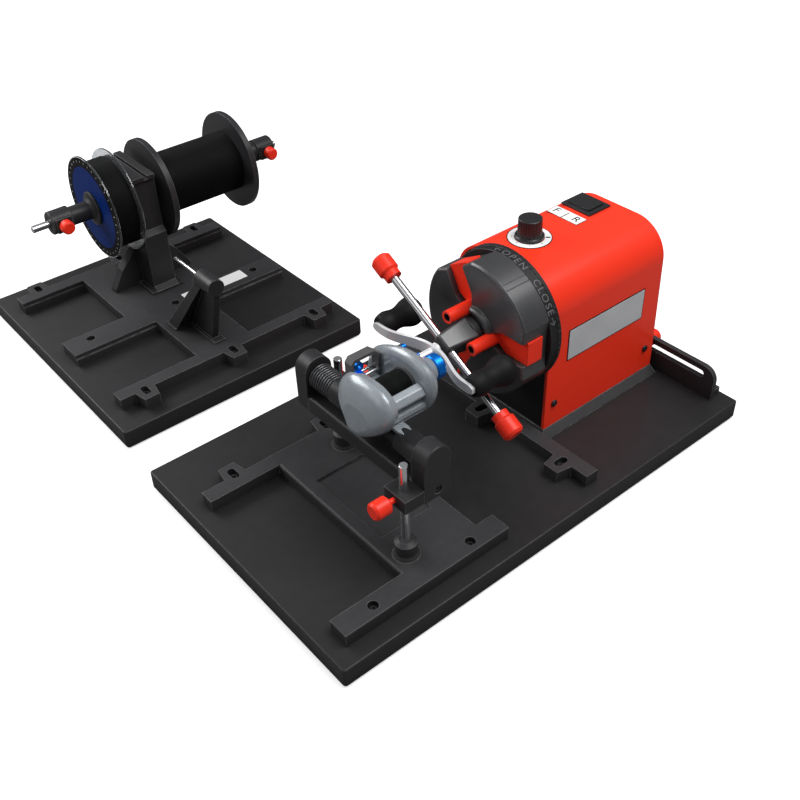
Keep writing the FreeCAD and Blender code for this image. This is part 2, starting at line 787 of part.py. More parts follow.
cheeks = []
cheek_screws = []
for start, outer, way in (("cradle_near", "cradle_near", 1), (bar_far, "cradle_far", -1)):
    cheek = new_body("Cheek")
    face = [("cradle_x - cradle_wide/2", "bar_low"), ("cradle_x + cradle_wide/2", "bar_low"),
            ("cradle_x + cradle_wide/2", "cheek_axis"), ("cradle_x - cradle_wide/2", "cheek_axis")]
    lift = "-(%s) - cheek_thick" % start
    pad(cheek, loop(sketch_on(cheek, "XZ_Plane", lift), face), "cheek_thick")
    pad(cheek, ring(sketch_on(cheek, "XZ_Plane", lift), "cradle_x", "cheek_axis", "cradle_wide/2"),
        "cheek_thick")
    round_edges(cheek, lambda e: at(e, 1, val(outer)) and e.BoundBox.ZMax > val("bar_low + 1"), "1.2")
    inner = "%s + (%d)*(cheek_thick - seat_bite)" % (outer, way)
    socket = inner if way > 0 else "%s - seat_bite" % inner
    shape_in(cheek, "SubtractiveCylinder", "cradle_x", socket, "seat_axis", (1, 0, 0), "-90",
             Radius="seat_round + seat_fit", Height="seat_bite")
    shape_in(cheek, "SubtractiveCylinder", "cradle_x", "%s" % start, "bar_low + cheek_screw_lift",
             (1, 0, 0), "-90",
             Radius="screw_shank + hole_gap", Height="cheek_thick")
    head_start = outer if way > 0 else "%s - 5" % outer
    shape_in(cheek, "SubtractiveCylinder", "cradle_x", head_start, "bar_low + cheek_screw_lift", (1, 0, 0),
             "-90",
             Radius="cheek_screw_head + hole_gap", Height="5")
    cheeks.append(cheek)
    screw = new_body("CheekScrew")
    turned(screw, [("0", "-20"), ("screw_shank", "-20"), ("screw_shank", "0"), ("cheek_screw_head", "0"),
                   ("cheek_screw_head", "3.4"), ("cheek_screw_head - 0.6", "4"), ("1.8", "4"), ("1.8", "2"),
                   ("0", "2")])
    cheek_screws.append(place(screw, "cradle_x", "%s + (%d)*5" % (outer, way), "bar_low + cheek_screw_lift",
                              (1, 0, 0), "%d" % (90 * way)))
keep(join("cheeks", "MultiFuse", cheeks), "cradle_cheeks")
keep(join("cheekscrews", "MultiFuse", cheek_screws), "cheek_screws")


def thumbscrew(name, stud, knob, knob_long, reach, bite, x, y, z, axis, turn):
    """Moulded hand knob on a steel stud; it points along its own +Z, knob outward."""
    body = new_body(name)
    turned(body, [("0", "-(%s)" % bite), ("%s" % stud, "-(%s)" % bite), (stud, reach),
                  ("%s*0.75" % knob, reach),
                  (knob, "%s + %s*0.2" % (reach, knob)),
                  (knob, "%s + %s - %s*0.25" % (reach, knob_long, knob)),
                  ("%s*0.8" % knob, "%s + %s" % (reach, knob_long)), ("0", "%s + %s" % (reach, knob_long))])
    place(body, x, y, z, axis, turn)
    return keep(body, name)


thumbscrew("height_screw_near", "clamp_stud", "clamp_knob", "clamp_knob_long", "clamp_reach", "0",
           "near_post_x - post_round - 0.1", "near_post_y", clamp_z, (0, 1, 0), "-90")
thumbscrew("height_screw_far", "clamp_stud", "clamp_knob", "clamp_knob_long", "clamp_reach", "0",
           "far_post_x + post_round + 0.1", "far_post_y", clamp_z, (0, 1, 0), "90")

# ---------------------------------------------------------------- rod seat
tube = new_body("seat_tube")
tube_long = "cradle_far - cradle_near - 2*(cheek_thick - seat_bite) - 0.2"
turned(tube, [("seat_round - seat_wall", "0"), ("seat_round", "0"), ("seat_round", tube_long),
              ("seat_round - seat_wall", tube_long)])
place(tube, "cradle_x", "cradle_near + cheek_thick - seat_bite + 0.1", "seat_axis", *ALONG_Y)
keep(tube, "seat_tube")

foot_low = "seat_axis + seat_round + foot_gap"
hood = new_body("fixed_hood")
hood_long = "fixed_hood_mouth - (%s)" % bar_near
turned(hood, [("seat_round + seat_fit", "0.1"), ("hood_round + 0.6", "0.1"),
              ("hood_round", "(%s)*0.3" % hood_long),
              ("hood_round - 0.4", "(%s)*0.7" % hood_long), ("hood_mouth_round", hood_long),
              ("seat_round + seat_fit", hood_long)])
shape_in(hood, "SubtractiveBox", "-foot_wide/2 - 0.2", "-seat_round - foot_thick - 2*foot_gap - 0.1",
         "(%s) - 6.6" % hood_long,
         Length="foot_wide + 0.4", Width="foot_thick + 3", Height="10")
place(hood, "cradle_x", bar_near, "seat_axis", *ALONG_Y)
keep(hood, "fixed_hood")

hood = new_body("sliding_hood")
hood_long = "slide_hood_end - slide_hood_mouth"
turned(hood, [("seat_round + slide_fit", "0"), ("hood_mouth_round", "0"), ("hood_round", "5"),
              ("hood_round", "12"),
              ("hood_round + 0.8", "13"), ("hood_round + 0.8", "(%s)" % hood_long),
              ("seat_round + slide_fit", hood_long)])
shape_in(hood, "SubtractiveBox", "-foot_wide/2 - 0.2", "-seat_round - foot_thick - 2*foot_gap - 0.1", "-1",
         Length="foot_wide + 0.4", Width="foot_thick + 3", Height="8")
rib = shape_in(hood, "AdditiveCylinder", "hood_round - hood_rib_round*0.4", "0", "6",
               Radius="hood_rib_round", Height="6.5")
polar(hood, rib, "hood_ribs")
place(hood, "cradle_x", "slide_hood_mouth", "seat_axis", *ALONG_Y)
keep(hood, "sliding_hood")

spring_long = val(bar_far) - val("slide_hood_end") - 0.6
wire = val("spring_wire")
coil = Part.makeHelix((spring_long - 2 * wire) / val("spring_turns"), spring_long - 2 * wire,
                      val("spring_round") - wire)
section = Part.Wire([Part.Circle(V(val("spring_round") - wire, 0, 0), V(0, 1, 0), wire).toShape()])
spring = doc.addObject("Part::Feature", "seat_spring")
spring.Shape = Part.Wire(coil.Edges).makePipeShell([section], True, True)
spring.Placement = FreeCAD.Placement(V(val("cradle_x"), val("slide_hood_end") + 0.3 + wire,
                                       val("seat_axis")),
                                     FreeCAD.Rotation(V(1, 0, 0), -90))
keep(spring, "seat_spring")

# ---------------------------------------------------------------- reel


PALM_SHAPE = ((0.98, -0.07), (0.92, 0.52), (0.54, 0.89), (-0.06, 1.0), (-0.66, 0.90), (-1.0, 0.52),
              (-0.93, -0.03), (-0.42, -0.59), (0.15, -0.93), (0.60, -0.87), (0.76, -0.56))
COVER_SHAPE = ((1.0, -0.12), (0.81, 0.42), (0.38, 0.79), (-0.17, 1.0), (-0.64, 0.97), (-0.98, 0.70),
               (-1.0, -0.06), (-0.76, -0.45), (-0.17, -0.88), (0.48, -0.94), (0.90, -0.67))


def side_outline(side, shape, x, scale, drop):
    """Closed smooth outline of a reel side, standing across X: the shape's points are
    shares of its half length and half height, scaled about a middle that may drop."""
    half_y = val(side + "_half_long") * scale
    half_z = val(side + "_half_tall") * scale
    middle_y = val(side + "_mid_y")
    middle_z = val(side + "_mid_z") - drop
    curve = Part.BSplineCurve()
    curve.interpolate([V(x, middle_y + dy * half_y, middle_z + dz * half_z) for dy, dz in shape],
                      PeriodicFlag=True)
    return Part.Wire([curve.toShape()])


def swelling(side, shape, x_flat, x_tip, drop, stations):
    """Bulging form: outlines lofted from x_flat to x_tip; a station is (share, scale)."""
    rings = []
    for share, scale in stations:
        x = x_flat + (x_tip - x_flat) * share
        rings.append(side_outline(side, shape, x, scale, drop * share * share))
    return Part.makeLoft(rings, True, False)


def formed(name, shape):
    obj = doc.addObject("Part::Feature", name)
    obj.Shape = shape
    return obj


DOME = ((0.0, 1.0), (0.3, 0.975), (0.6, 0.88), (0.85, 0.70), (1.0, 0.46))
palm = swelling("palm", PALM_SHAPE, val("reel_left"), val("reel_left - palm_deep"), val("palm_drop"), DOME)
keep(formed("palm_cover", palm), "palm_cover")

SHALLOW_DOME = ((0.0, 1.0), (0.25, 0.945), (0.5, 0.84), (0.8, 0.64), (1.0, 0.42))
cover = swelling("cover", COVER_SHAPE, val("reel_right"), val("reel_right + cover_deep"), val("cover_drop"),
                 SHALLOW_DOME)
cover_form = formed("cover_form", cover)
shaft_boss = rod("shaft_boss", "shaft_boss", "cover_deep + 3", "reel_right + 1", "chuck_y", "chuck_z",
                 *ALONG_X)
cap_boss = doc.addObject("Part::Cone", "cap_boss")
cap_boss.setExpression("Radius1", bind("cap_boss_foot"))
cap_boss.setExpression("Radius2", bind("cap_boss_tip"))
cap_boss.setExpression("Height", bind("cap_x - reel_right - 6 - run_gap"))
place(cap_boss, "reel_right + 6", "spool_y", "spool_z", *ALONG_X)
cap_stub = rod("cap_stub", "cap_pin", "cap_pin_long + 1", "cap_x - 1", "spool_y", "spool_z", *ALONG_X)
solid_cover = join("cover_solid", "MultiFuse", [cover_form, shaft_boss, cap_boss, cap_stub])
shaft_hole = rod("shaft_hole", "main_shaft + 0.05", "40", "reel_right + 8", "chuck_y", "chuck_z", *ALONG_X)
keep(join("cover", "Cut", [solid_cover, shaft_hole]), "handle_cover")

# frame of the reel: two side walls, tray, foot, front sill and the cross bar under the thumb bar
tray_low = foot_low + " + foot_thick - 0.4"
left_form = formed("left_form", swelling("palm", PALM_SHAPE, val("reel_left"), val("reel_left_in"), 0,
                                         ((0.0, 0.97), (1.0, 0.87))))
left_room = block("left_room", "reel_left - 1", "palm_mid_y - 2*palm_half_long", "wall_low",
                  "reel_left_in + 1",
                  "palm_mid_y + 2*palm_half_long", "palm_mid_z + 2*palm_half_tall")
left_wall = join("left_wall", "MultiCommon", [left_form, left_room])
right_wall = formed("right_wall", swelling("cover", COVER_SHAPE, val("reel_right"), val("reel_right_in"),
                                           val("shoulder"),
                                           ((0.0, 1.0), (0.5, 0.965), (1.0, 0.88))))
tray = block("tray", "reel_left + 1", "tray_near", tray_low, "reel_right - 1", "tray_far",
             tray_low + " + tray_thick")
riser = block("riser", "reel_left + 0.5", "palm_mid_y - 14", tray_low, "reel_left_in - 0.4", "tray_far",
              "wall_low + 2")
sill = block("sill", "reel_left_in - 1", "tray_far", "sill_low", "reel_right_in + 1",
             "guide_y - arch_deep/2 + 2", "sill_high")
foot = new_body("reel_foot")
foot_outline = [("cradle_x - foot_wide/2 + 1.5", "foot_near"),
                ("cradle_x + foot_wide/2 - 1.5", "foot_near"),
                ("cradle_x + foot_wide/2", "foot_near + 5"), ("cradle_x + foot_wide/2", "foot_far - 5"),
                ("cradle_x + foot_wide/2 - 1.5", "foot_far"), ("cradle_x - foot_wide/2 + 1.5", "foot_far"),
                ("cradle_x - foot_wide/2", "foot_far - 5"), ("cradle_x - foot_wide/2", "foot_near + 5")]
pad(foot, loop(sketch_on(foot, "XY_Plane", foot_low), foot_outline), "foot_thick")
cross_bar = block("cross_bar", "reel_left_in - 1", "cross_near", "cross_low", "reel_right_in + 1",
                  "cross_far", "cross_high")
frame_solid = join("reel_solid", "MultiFuse", [left_wall, right_wall, tray, riser, sill, foot, cross_bar])
pin_hole = rod("pin_hole", "reel_pin + slide_fit", "reel_right - reel_left", "reel_left - 1", "spool_y",
               "spool_z", *ALONG_X)
keep(join("reel_hollow", "Cut", [frame_solid, pin_hole]), "reel_body")

reel_spool = new_body("reel_spool")
left_end = "reel_left_in + run_gap"
spool_long = "reel_right_in - reel_left_in - 2*run_gap"
turned(reel_spool, [("0", "-reel_pin_left"), ("reel_pin", "-reel_pin_left"), ("reel_pin", "0"),
                    ("reel_spool_round", "0"),
                    ("reel_spool_round", "reel_flange"),
                    ("reel_drum_round", "reel_flange + reel_flange_slope"),
                    ("reel_drum_round", spool_long + " - reel_flange - reel_flange_slope"),
                    ("reel_spool_round", spool_long + " - reel_flange"), ("reel_spool_round", spool_long),
                    ("reel_pin", spool_long), ("reel_pin", spool_long + " + reel_pin_right"),
                    ("0", spool_long + " + reel_pin_right")])
place(reel_spool, left_end, "spool_y", "spool_z", *ALONG_X)
keep(reel_spool, "reel_spool")
reel_line = new_body("reel_line")
turned(reel_line, [("reel_drum_round + 0.02", "reel_flange + reel_flange_slope + 0.1"),
                   ("reel_line_round", "reel_flange + 0.6"),
                   ("reel_line_round + reel_line_swell", "(%s)/2" % spool_long),
                   ("reel_line_round", spool_long + " - reel_flange - 0.6"),
                   ("reel_drum_round + 0.02", spool_long + " - reel_flange - reel_flange_slope - 0.1")])
place(reel_line, left_end, "spool_y", "spool_z", *ALONG_X)
keep(reel_line, "reel_line")

# level wind: dark arch over the front, two steel bars and the travelling eye
arch = new_body("level_wind_arch")
arch_left = "reel_left_in + 0.1"
arch_right = "reel_right_in - 0.1"
arch_outer = [(arch_left, "arch_low"), (arch_left, "arch_top - 4"), (arch_left + " + 3.5", "arch_top"),
              ("arch_bend_x", "arch_top"),
              (arch_right, "arch_right_z"), (arch_right, "arch_low"),
              (arch_right + " - arch_thick", "arch_low"),
              (arch_right + " - arch_thick", "arch_right_z - 1.6"),
              ("arch_bend_x - 1.3", "arch_top - arch_thick"),
              (arch_left + " + arch_thick + 1.8", "arch_top - arch_thick"),
              (arch_left + " + arch_thick", "arch_top - arch_thick - 2.4"),
              (arch_left + " + arch_thick", "arch_low")]
pad(arch, loop(sketch_on(arch, "XZ_Plane", "-guide_y - arch_deep/2"), arch_outer), "arch_deep")
bar_rows = ("guide_y - guide_bar_apart/2", "guide_y + guide_bar_apart/2")
for row in bar_rows:
    shape_in(arch, "SubtractiveCylinder", "reel_left_in - 1", row, "guide_bar_z", (0, 1, 0), "90",
             Radius="guide_bar_round + 0.03", Height="reel_right_in - reel_left_in + 2")
keep(arch, "level_wind_arch")
bars = []
for row in bar_rows:
    bars.append(rod("guide_bar", "guide_bar_round", "reel_right_in - reel_left_in - 0.2", arch_left, row,
                    "guide_bar_z", *ALONG_X))
keep(join("bars", "MultiFuse", bars), "level_wind_bars")
eye = new_body("level_wind_eye")
box_in(eye, "AdditiveBox", "eye_x - eye_wide/2", "guide_y - guide_bar_apart/2 - 2.6", "guide_bar_z - 2.8",
       "eye_x + eye_wide/2", "guide_y + guide_bar_apart/2 + 2.6", "guide_bar_z + 2.8")
box_in(eye, "AdditiveBox", "eye_x - eye_wide*0.3", "guide_y - 1.5", "guide_bar_z + 1",
       "eye_x + eye_wide*0.3", "guide_y + 1.5",
       "eye_loop_z - eye_loop_round*0.7")
shape_in(eye, "AdditiveCylinder", "eye_x", "guide_y - 2", "eye_loop_z", (1, 0, 0), "-90",
         Radius="eye_loop_round", Height="4")
shape_in(eye, "SubtractiveCylinder", "eye_x", "guide_y - 7", "eye_loop_z", (1, 0, 0), "-90",
         Radius="eye_loop_bore", Height="14")
for row in bar_rows:
    shape_in(eye, "SubtractiveCylinder", "eye_x - eye_wide", row, "guide_bar_z", (0, 1, 0), "90",
             Radius="guide_bar_round + slide_fit", Height="2*eye_wide")
keep(eye, "level_wind_eye")

thumb = new_body("thumb_bar")
thumb_outline = [("thumb_y", "thumb_top"), ("thumb_y + 1.2", "thumb_top - 2"),
                 ("thumb_y + 1", "thumb_top - thumb_tall*0.55"),
                 ("thumb_y - thumb_deep*0.3", "thumb_top - thumb_tall*0.95"),
                 ("thumb_y - thumb_deep*0.85", "thumb_top - thumb_tall"),
                 ("thumb_y - thumb_deep", "thumb_top - thumb_tall*0.7"),
                 ("thumb_y - thumb_deep*0.6", "thumb_top - 1.8")]
pad(thumb, loop(sketch_on(thumb, "YZ_Plane", "reel_left_in + run_gap"), thumb_outline),
    "reel_right_in - reel_left_in - 2*run_gap")
keep(thumb, "thumb_bar")

star = new_body("drag_star")
turned(star, [("main_shaft + slide_fit", "0"), ("star_hub", "0"), ("star_hub", "star_thick - 1"),
              ("star_hub - 1", "star_thick"),
              ("main_shaft + slide_fit", "star_thick")])
spoke = loop(sketch_on(star, "XY_Plane", "star_thick*0.25"),
             [("star_hub - 1.5", "-2"), ("star_arm", "-1.4"), ("star_arm", "1.4"), ("star_hub - 1.5", "2")])
polar(star, pad(star, spoke, "star_thick*0.5"), "5")
polar(star, shape_in(star, "AdditiveCylinder", "star_arm", "0", "star_thick*0.1", Radius="star_tip",
                     Height="star_thick*0.8"), "5")
place(star, "star_x", "chuck_y", "chuck_z", *ALONG_X)
keep(star, "drag_star")

cap = new_body("cast_cap")
turned(cap, [("5.1", "run_gap"), ("cap_round - 1", "run_gap"), ("cap_round", "run_gap + 1"),
             ("cap_round", "cap_long - 2.5"),
             ("cap_round - 2.5", "cap_long"), ("0", "cap_long"), ("0", "4"), ("5.1", "4")])
place(cap, "cap_x", "spool_y", "spool_z", *ALONG_X)
keep(cap, "cast_cap")

# handle: bent strip, its outline trimmed from the side, with the shaft, nut and knob pins
half = "arm_thick/2"
hub_out = "arm_hub_x + " + half
hub_in = "arm_hub_x - " + half


def arm_edge(offset):
    """One edge of the swept strip: flat at the hub, an easy S, then flat at each knob."""
    total = 16
    tip = val("arm_reach + arm_tip_wide*0.6")
    curve_start = val("arm_hub_wide/2") / tip
    curve_end = val("arm_reach*0.86") / tip
    spots = []
    for i in range(total + 1):
        share = 2.0 * i / total - 1
        bend = min(max((abs(share) - curve_start) / (curve_end - curve_start), 0), 1)
        ease = bend * bend * (3 - 2 * bend)
        x = val("arm_hub_x") + (val("arm_end_x") - val("arm_hub_x")) * ease
        spots.append(V(x + offset, share * tip, 0))
    curve = Part.BSplineCurve()
    curve.interpolate(spots)
    return curve.toShape(), spots


upper, upper_spots = arm_edge(val(half))
lower, lower_spots = arm_edge(-val(half))
near_end = Part.LineSegment(lower_spots[0], upper_spots[0]).toShape()
far_end = Part.LineSegment(upper_spots[-1], lower_spots[-1]).toShape()
strip_face = Part.Face(Part.Wire([near_end, upper, far_end, lower]))
strip_face.translate(V(0, val("chuck_y"), val("chuck_z - arm_hub_wide/2")))
strip = formed("arm_strip", strip_face.extrude(V(0, 0, val("arm_hub_wide"))))
plan = new_body("arm_plan")
plan_outline = [("0", "arm_hub_wide/2"), ("arm_reach*0.25", "arm_hub_wide*0.42"),
                ("arm_reach", "arm_tip_wide/2"),
                ("arm_reach + 4.5", "arm_tip_wide/3"), ("arm_reach + 6", "0"),
                ("arm_reach + 4.5", "-arm_tip_wide/3"),
                ("arm_reach", "-arm_tip_wide/2"), ("arm_reach*0.25", "-arm_hub_wide*0.42"),
                ("0", "-arm_hub_wide/2"),
                ("-arm_reach*0.25", "-arm_hub_wide*0.42"), ("-arm_reach", "-arm_tip_wide/2"),
                ("-arm_reach - 4.5", "-arm_tip_wide/3"), ("-arm_reach - 6", "0"),
                ("-arm_reach - 4.5", "arm_tip_wide/3"),
                ("-arm_reach", "arm_tip_wide/2"), ("-arm_reach*0.25", "arm_hub_wide*0.42")]
pad(plan, loop(sketch_on(plan, "YZ_Plane", "arm_end_x - 4"), plan_outline), "24")
place(plan, "0", "chuck_y", "chuck_z")
arm_form = join("arm_form", "MultiCommon", [strip, plan])
shaft = new_body("arm_shaft")
turned(shaft, [("0", "reel_right + 9"), ("main_shaft", "reel_right + 9"), ("main_shaft", hub_in + " + 0.5"),
               ("main_shaft", hub_out), ("nut_round", hub_out),
               ("nut_round", hub_out + " + nut_tall - 1.6"),
               ("nut_round - 2.2", hub_out + " + nut_tall"), ("0", hub_out + " + nut_tall")])
place(shaft, "0", "chuck_y", "chuck_z", *ALONG_X)
pins = []
for way in (-1, 1):
    pins.append(rod("knob_pin", "knob_pin", "knob_end_x - knob_tip_wall - 0.6 - (arm_end_x)", "arm_end_x",
                    "chuck_y + (%d)*arm_reach" % way, "chuck_z", *ALONG_X))
keep(join("arm", "MultiFuse", [arm_form, shaft] + pins), "handle_arm")

knob_start = "arm_end_x + arm_thick/2 + 0.4"
GRIP = ((0.0, 0.62), (0.08, 0.74), (0.22, 0.80), (0.36, 0.72), (0.50, 0.74), (0.68, 0.94), (0.82, 1.0),
        (0.94, 0.84),
        (1.0, 0.45))
grip_long = val("knob_end_x") - val(knob_start)
for name, way in (("handle_knob_near", -1), ("handle_knob_far", 1)):
    waist = Part.BSplineCurve()
    waist.interpolate([V(val("knob_round") * wide, 0, grip_long * share) for share, wide in GRIP])
    start = V(0, 0, 0)
    end = V(0, 0, grip_long)
    first = V(val("knob_round") * GRIP[0][1], 0, 0)
    last = V(val("knob_round") * GRIP[-1][1], 0, grip_long)
    profile = Part.Wire([Part.LineSegment(start, first).toShape(), waist.toShape(),
                         Part.LineSegment(last, end).toShape(),
                         Part.LineSegment(end, start).toShape()])
    grip = Part.Face(profile).revolve(V(0, 0, 0), V(0, 0, 1), 360)
    bore = Part.makeCylinder(val("knob_pin + slide_fit"), grip_long - val("knob_tip_wall"))
    knob = formed(name, grip.cut(bore))
    knob.Placement = FreeCAD.Placement(V(val(knob_start), val("chuck_y + (%d)*arm_reach" % way),
                                         val("chuck_z")),
                                       FreeCAD.Rotation(V(0, 1, 0), 90))
    keep(knob, name)

# ---------------------------------------------------------------- head rail and bracket
rail_body = new_body("head_rail")
rail(rail_body, "head_rail_x - head_rail_wide/2", "head_rail_x + head_rail_wide/2", "-head_rail_long/2",
     "head_rail_long/2")
for cx, cy in rail_fixings:
    nose = "head_rail_x - head_rail_wide/2 - lug_reach"
    root = "head_rail_x - head_rail_wide/2 + 1"
    ear = [(nose, "%s - lug_nose/2" % cy), (root, "%s - lug_root/2" % cy), (root, "%s + lug_root/2" % cy),
           (nose, "%s + lug_nose/2" % cy)]
    pad(rail_body, loop(sketch_on(rail_body, "XY_Plane", "board_thick"), ear), "rail_tall")
round_edges(rail_body, lambda e: at(e, 2, val(TOP)) and at(e, 0, val("head_rail_x + head_rail_wide/2")),
            "1")
fixing_holes(rail_body, [], rail_fixings, False)
keep(rail_body, "head_rail")

bracket = new_body("head_bracket")
low = "board_thick"
high = "board_thick + bracket_tall"
pad(bracket, loop(sketch_on(bracket, "YZ_Plane", "bracket_x"),
                  [("-bracket_long/2", low), ("bracket_long/2", low),
                                                               ("bracket_long/2", high),
                                                               ("-bracket_long/2", high)]),
    "bracket_thick")
round_edges(bracket, lambda e: along(e, (1, 0, 0)) and at(e, 2, val(high)), "bracket_corner")
box_in(bracket, "AdditiveBox", "bracket_x + bracket_thick - 1", "-bracket_long/2 + 2", low,
       "bracket_x + bracket_thick + bracket_foot",
       "bracket_long/2 - 2", low + " + bracket_foot_tall")
channel = sketch_on(bracket, "YZ_Plane", "bracket_x + bracket_thick")
slot(channel, "0", low + " + bracket_slot_low + bracket_slot_wide/2", "bracket_long - 2*bracket_slot_end",
     "bracket_slot_wide", False)
pocket(bracket, channel, "bracket_thick + 1")
holes = sketch_on(bracket, "XY_Plane", low + " + bracket_foot_tall")
for cx, cy in bracket_fixings:
    ring(holes, cx, cy, "screw_shank + hole_gap")
pocket(bracket, holes, "bracket_foot_tall + 1")
keep(bracket, "head_bracket")

# ---------------------------------------------------------------- frame screws
screws = []
for cx, cy in reel_fixings + rail_fixings + spool_fixings:
    screws.append((cx, cy, TOP + " - screw_sink"))
for cx, cy in bracket_fixings:
    screws.append((cx, cy, "board_thick + bracket_foot_tall"))
solids = []
for cx, cy, z in screws:
    seat = val(z)
    foot_z = val("board_thick - screw_bite + 0.5")
    shank = Part.makeCylinder(val("screw_shank"), seat - foot_z, V(val(cx), val(cy), foot_z))
    head = Part.makeCylinder(val("screw_head"), val("screw_head_tall"), V(val(cx), val(cy), seat))
    socket_cut = Part.makeCylinder(1.7, 2, V(val(cx), val(cy), seat + val("screw_head_tall") - 2))
    solids.append(shank.fuse(head).cut(socket_cut).removeSplitter())
keep(formed("frame_screws", Part.makeCompound(solids)), "frame_screws")

# ---------------------------------------------------------------- motor head
head_near = "head_y - head_wide/2"
head_far = "head_y + head_wide/2"
base_low = "board_thick + base_gap"
base_high = "board_thick + base_tall"
base = new_body("head_base")
sections = []
for level, spread, front in ((base_low, "base_flare", "base_front_flare"), (base_high, "0", "0")):
    flat = [("head_front - %s" % front, "%s - %s" % (head_near, spread)),
            ("head_back + %s*0.6" % front, "%s - %s" % (head_near, spread)),
            ("head_back + %s*0.6" % front, "%s + %s" % (head_far, spread)),
            ("head_front - %s" % front, "%s + %s" % (head_far, spread))]
    sections.append(loop(sketch_on(base, "XY_Plane", level), flat))
flare = base.newObject("PartDesign::AdditiveLoft", "Flare")
flare.Profile = sections[0]
flare.Sections = [sections[1]]
settle(base, flare)
inner_near = head_near + " + shell_wall + run_gap"
inner_far = head_far + " - shell_wall - run_gap"
for y0, y1 in ((inner_near, inner_near + " + upstand_thick"), (inner_far + " - upstand_thick", inner_far)):
    box_in(base, "AdditiveBox", "head_front + 8", y0, base_high + " - 1", "head_back - 12", y1,
           base_high + " + upstand_tall")
for cx in ("head_front + side_screw_inset + 2", "head_back - side_screw_inset - 4"):
    for y0 in (inner_near, inner_far + " - upstand_thick"):
        shape_in(base, "SubtractiveCylinder", cx, y0, "side_screw_z", (1, 0, 0), "-90",
                 Radius="side_screw_round + hole_gap", Height="upstand_thick")
keep(base, "head_base")


def shell_form(name, inset):
    """Round-topped housing with a leaning back, smaller all round by the inset."""
    body = new_body(name)
    side = [("head_front", base_high), ("head_back - (%s)" % inset, base_high),
            ("head_back - head_lean - (%s)" % inset, "head_top - (%s)" % inset),
            ("head_front", "head_top - (%s)" % inset)]
    pad(body, loop(sketch_on(body, "XZ_Plane", "-(%s) + (%s)" % (head_far, inset)), side),
        "head_wide - 2*(%s)" % inset)
    top = val("head_top - (%s)" % inset)
    round_edges(body, lambda e: along(e, (1, 0, 0)) and at(e, 2, top), "head_round - (%s)" % inset)
    return body


outer = shell_form("shell_outer", "0")
inner = shell_form("shell_inner", "shell_wall")
shell = join("shell_hollow", "Cut", [outer, inner])
cuts = [rod("dial_hole", "dial_shaft + hole_gap", "20", "dial_x", "dial_y", "head_top - 10"),
        block("switch_hole", "switch_x - switch_wide/2 + 1.9", "switch_y - switch_long/2 + 1.9",
              "head_top - 20",
              "switch_x + switch_wide/2 - 1.9", "switch_y + switch_long/2 - 1.9", "head_top + 5"),
        rod("lock_hole", "lock_stud + hole_gap", "20", "head_back - 10", "lock_y", "lock_z", *ALONG_X),
        rod("inlet_hole", "inlet_round + hole_gap", "20", "head_back - 10", "inlet_y", "inlet_z", *ALONG_X)]
for cx in ("head_front + side_screw_inset + 2", "head_back - side_screw_inset - 4"):
    cuts.append(rod("screw_hole", "side_screw_round + hole_gap", "head_wide + 4", cx, head_near + " - 2",
                    "side_screw_z", *ALONG_Y))
keep(join("housing_shell", "Cut", [shell, join("shell_cuts", "MultiFuse", cuts)]), "housing_shell")

plate_form = shell_form("plate_form", "shell_wall + run_gap")
plate_slab = block("plate_slab", "head_front + front_plate_inset", head_near, base_high + " + 0.1",
                   "head_front + front_plate_inset + front_plate_thick", head_far, "head_top")
plate_hole = rod("plate_hole", "spindle_round + 0.3", "20", "head_front - 5", "chuck_y", "chuck_z",
                 *ALONG_X)
keep(join("front_plate", "Cut", [join("plate_cut", "MultiCommon", [plate_form, plate_slab]), plate_hole]),
     "front_plate")

side_screws = []
for cx in ("head_front + side_screw_inset + 2", "head_back - side_screw_inset - 4"):
    for y, way in ((head_near, -1), (head_far, 1)):
        screw = new_body("SideScrew")
        turned(screw, [("0", "-9"), ("side_screw_round", "-9"), ("side_screw_round", "0.05"),
                       ("side_screw_head", "0.05"),
                       ("side_screw_head - 0.4", "1.6"), ("side_screw_head - 1.6", "2.2"), ("1.3", "2.2"),
                       ("1.3", "1"), ("0", "1")])
        side_screws.append(place(screw, cx, y, "side_screw_z", (1, 0, 0), "%d" % (-90 * way)))
keep(join("sidescrews", "MultiFuse", side_screws), "housing_screws")

# chuck: three faceted lobes on one disc, a raised collar ridge, the hub and the spindle
chuck = new_body("chuck_body")
pad(chuck, ring(sketch_on(chuck, "XY_Plane", "lobe_front"), "0", "0", "lobe_round"),
    "disc_back - lobe_front")
bay_inner = ("lobe_end_round*sin(60 - lobe_end)", "lobe_end_round*cos(60 - lobe_end)")
bay_outer = ("lobe_round*sin(60 - lobe_facet)", "lobe_round*cos(60 - lobe_facet)")
bay_outline = [("-" + bay_inner[0], bay_inner[1]), bay_inner, bay_outer, (bay_outer[0], "lobe_round + 2"),
               ("-" + bay_outer[0], "lobe_round + 2"), ("-" + bay_outer[0], bay_outer[1])]
bay = pocket(chuck, loop(sketch_on(chuck, "XY_Plane", "disc_back"), bay_outline),
             "disc_back - lobe_front + 1")
polar(chuck, bay, "jaw_count")
round_edges(chuck, lambda e: at(e, 2, val("lobe_front")), "lobe_bevel", "Chamfer")
for turn in ("(60 - lobe_band)", "(60 + lobe_band)"):
    score = shape_in(chuck, "SubtractiveBox", "-(lobe_round - lobe_score)*sin%s" % turn,
                     "(lobe_round - lobe_score)*cos%s" % turn, "lobe_front - 1", (0, 0, 1), turn[1:-1],
                     Length="lobe_score", Width="4*lobe_score", Height="disc_back - lobe_front + 2")
    polar(chuck, score, "jaw_count")
turned(chuck, [("0", "collar_front"), ("collar_round", "collar_front"), ("collar_round", "lobe_front + 1"),
               ("0", "lobe_front + 1")])
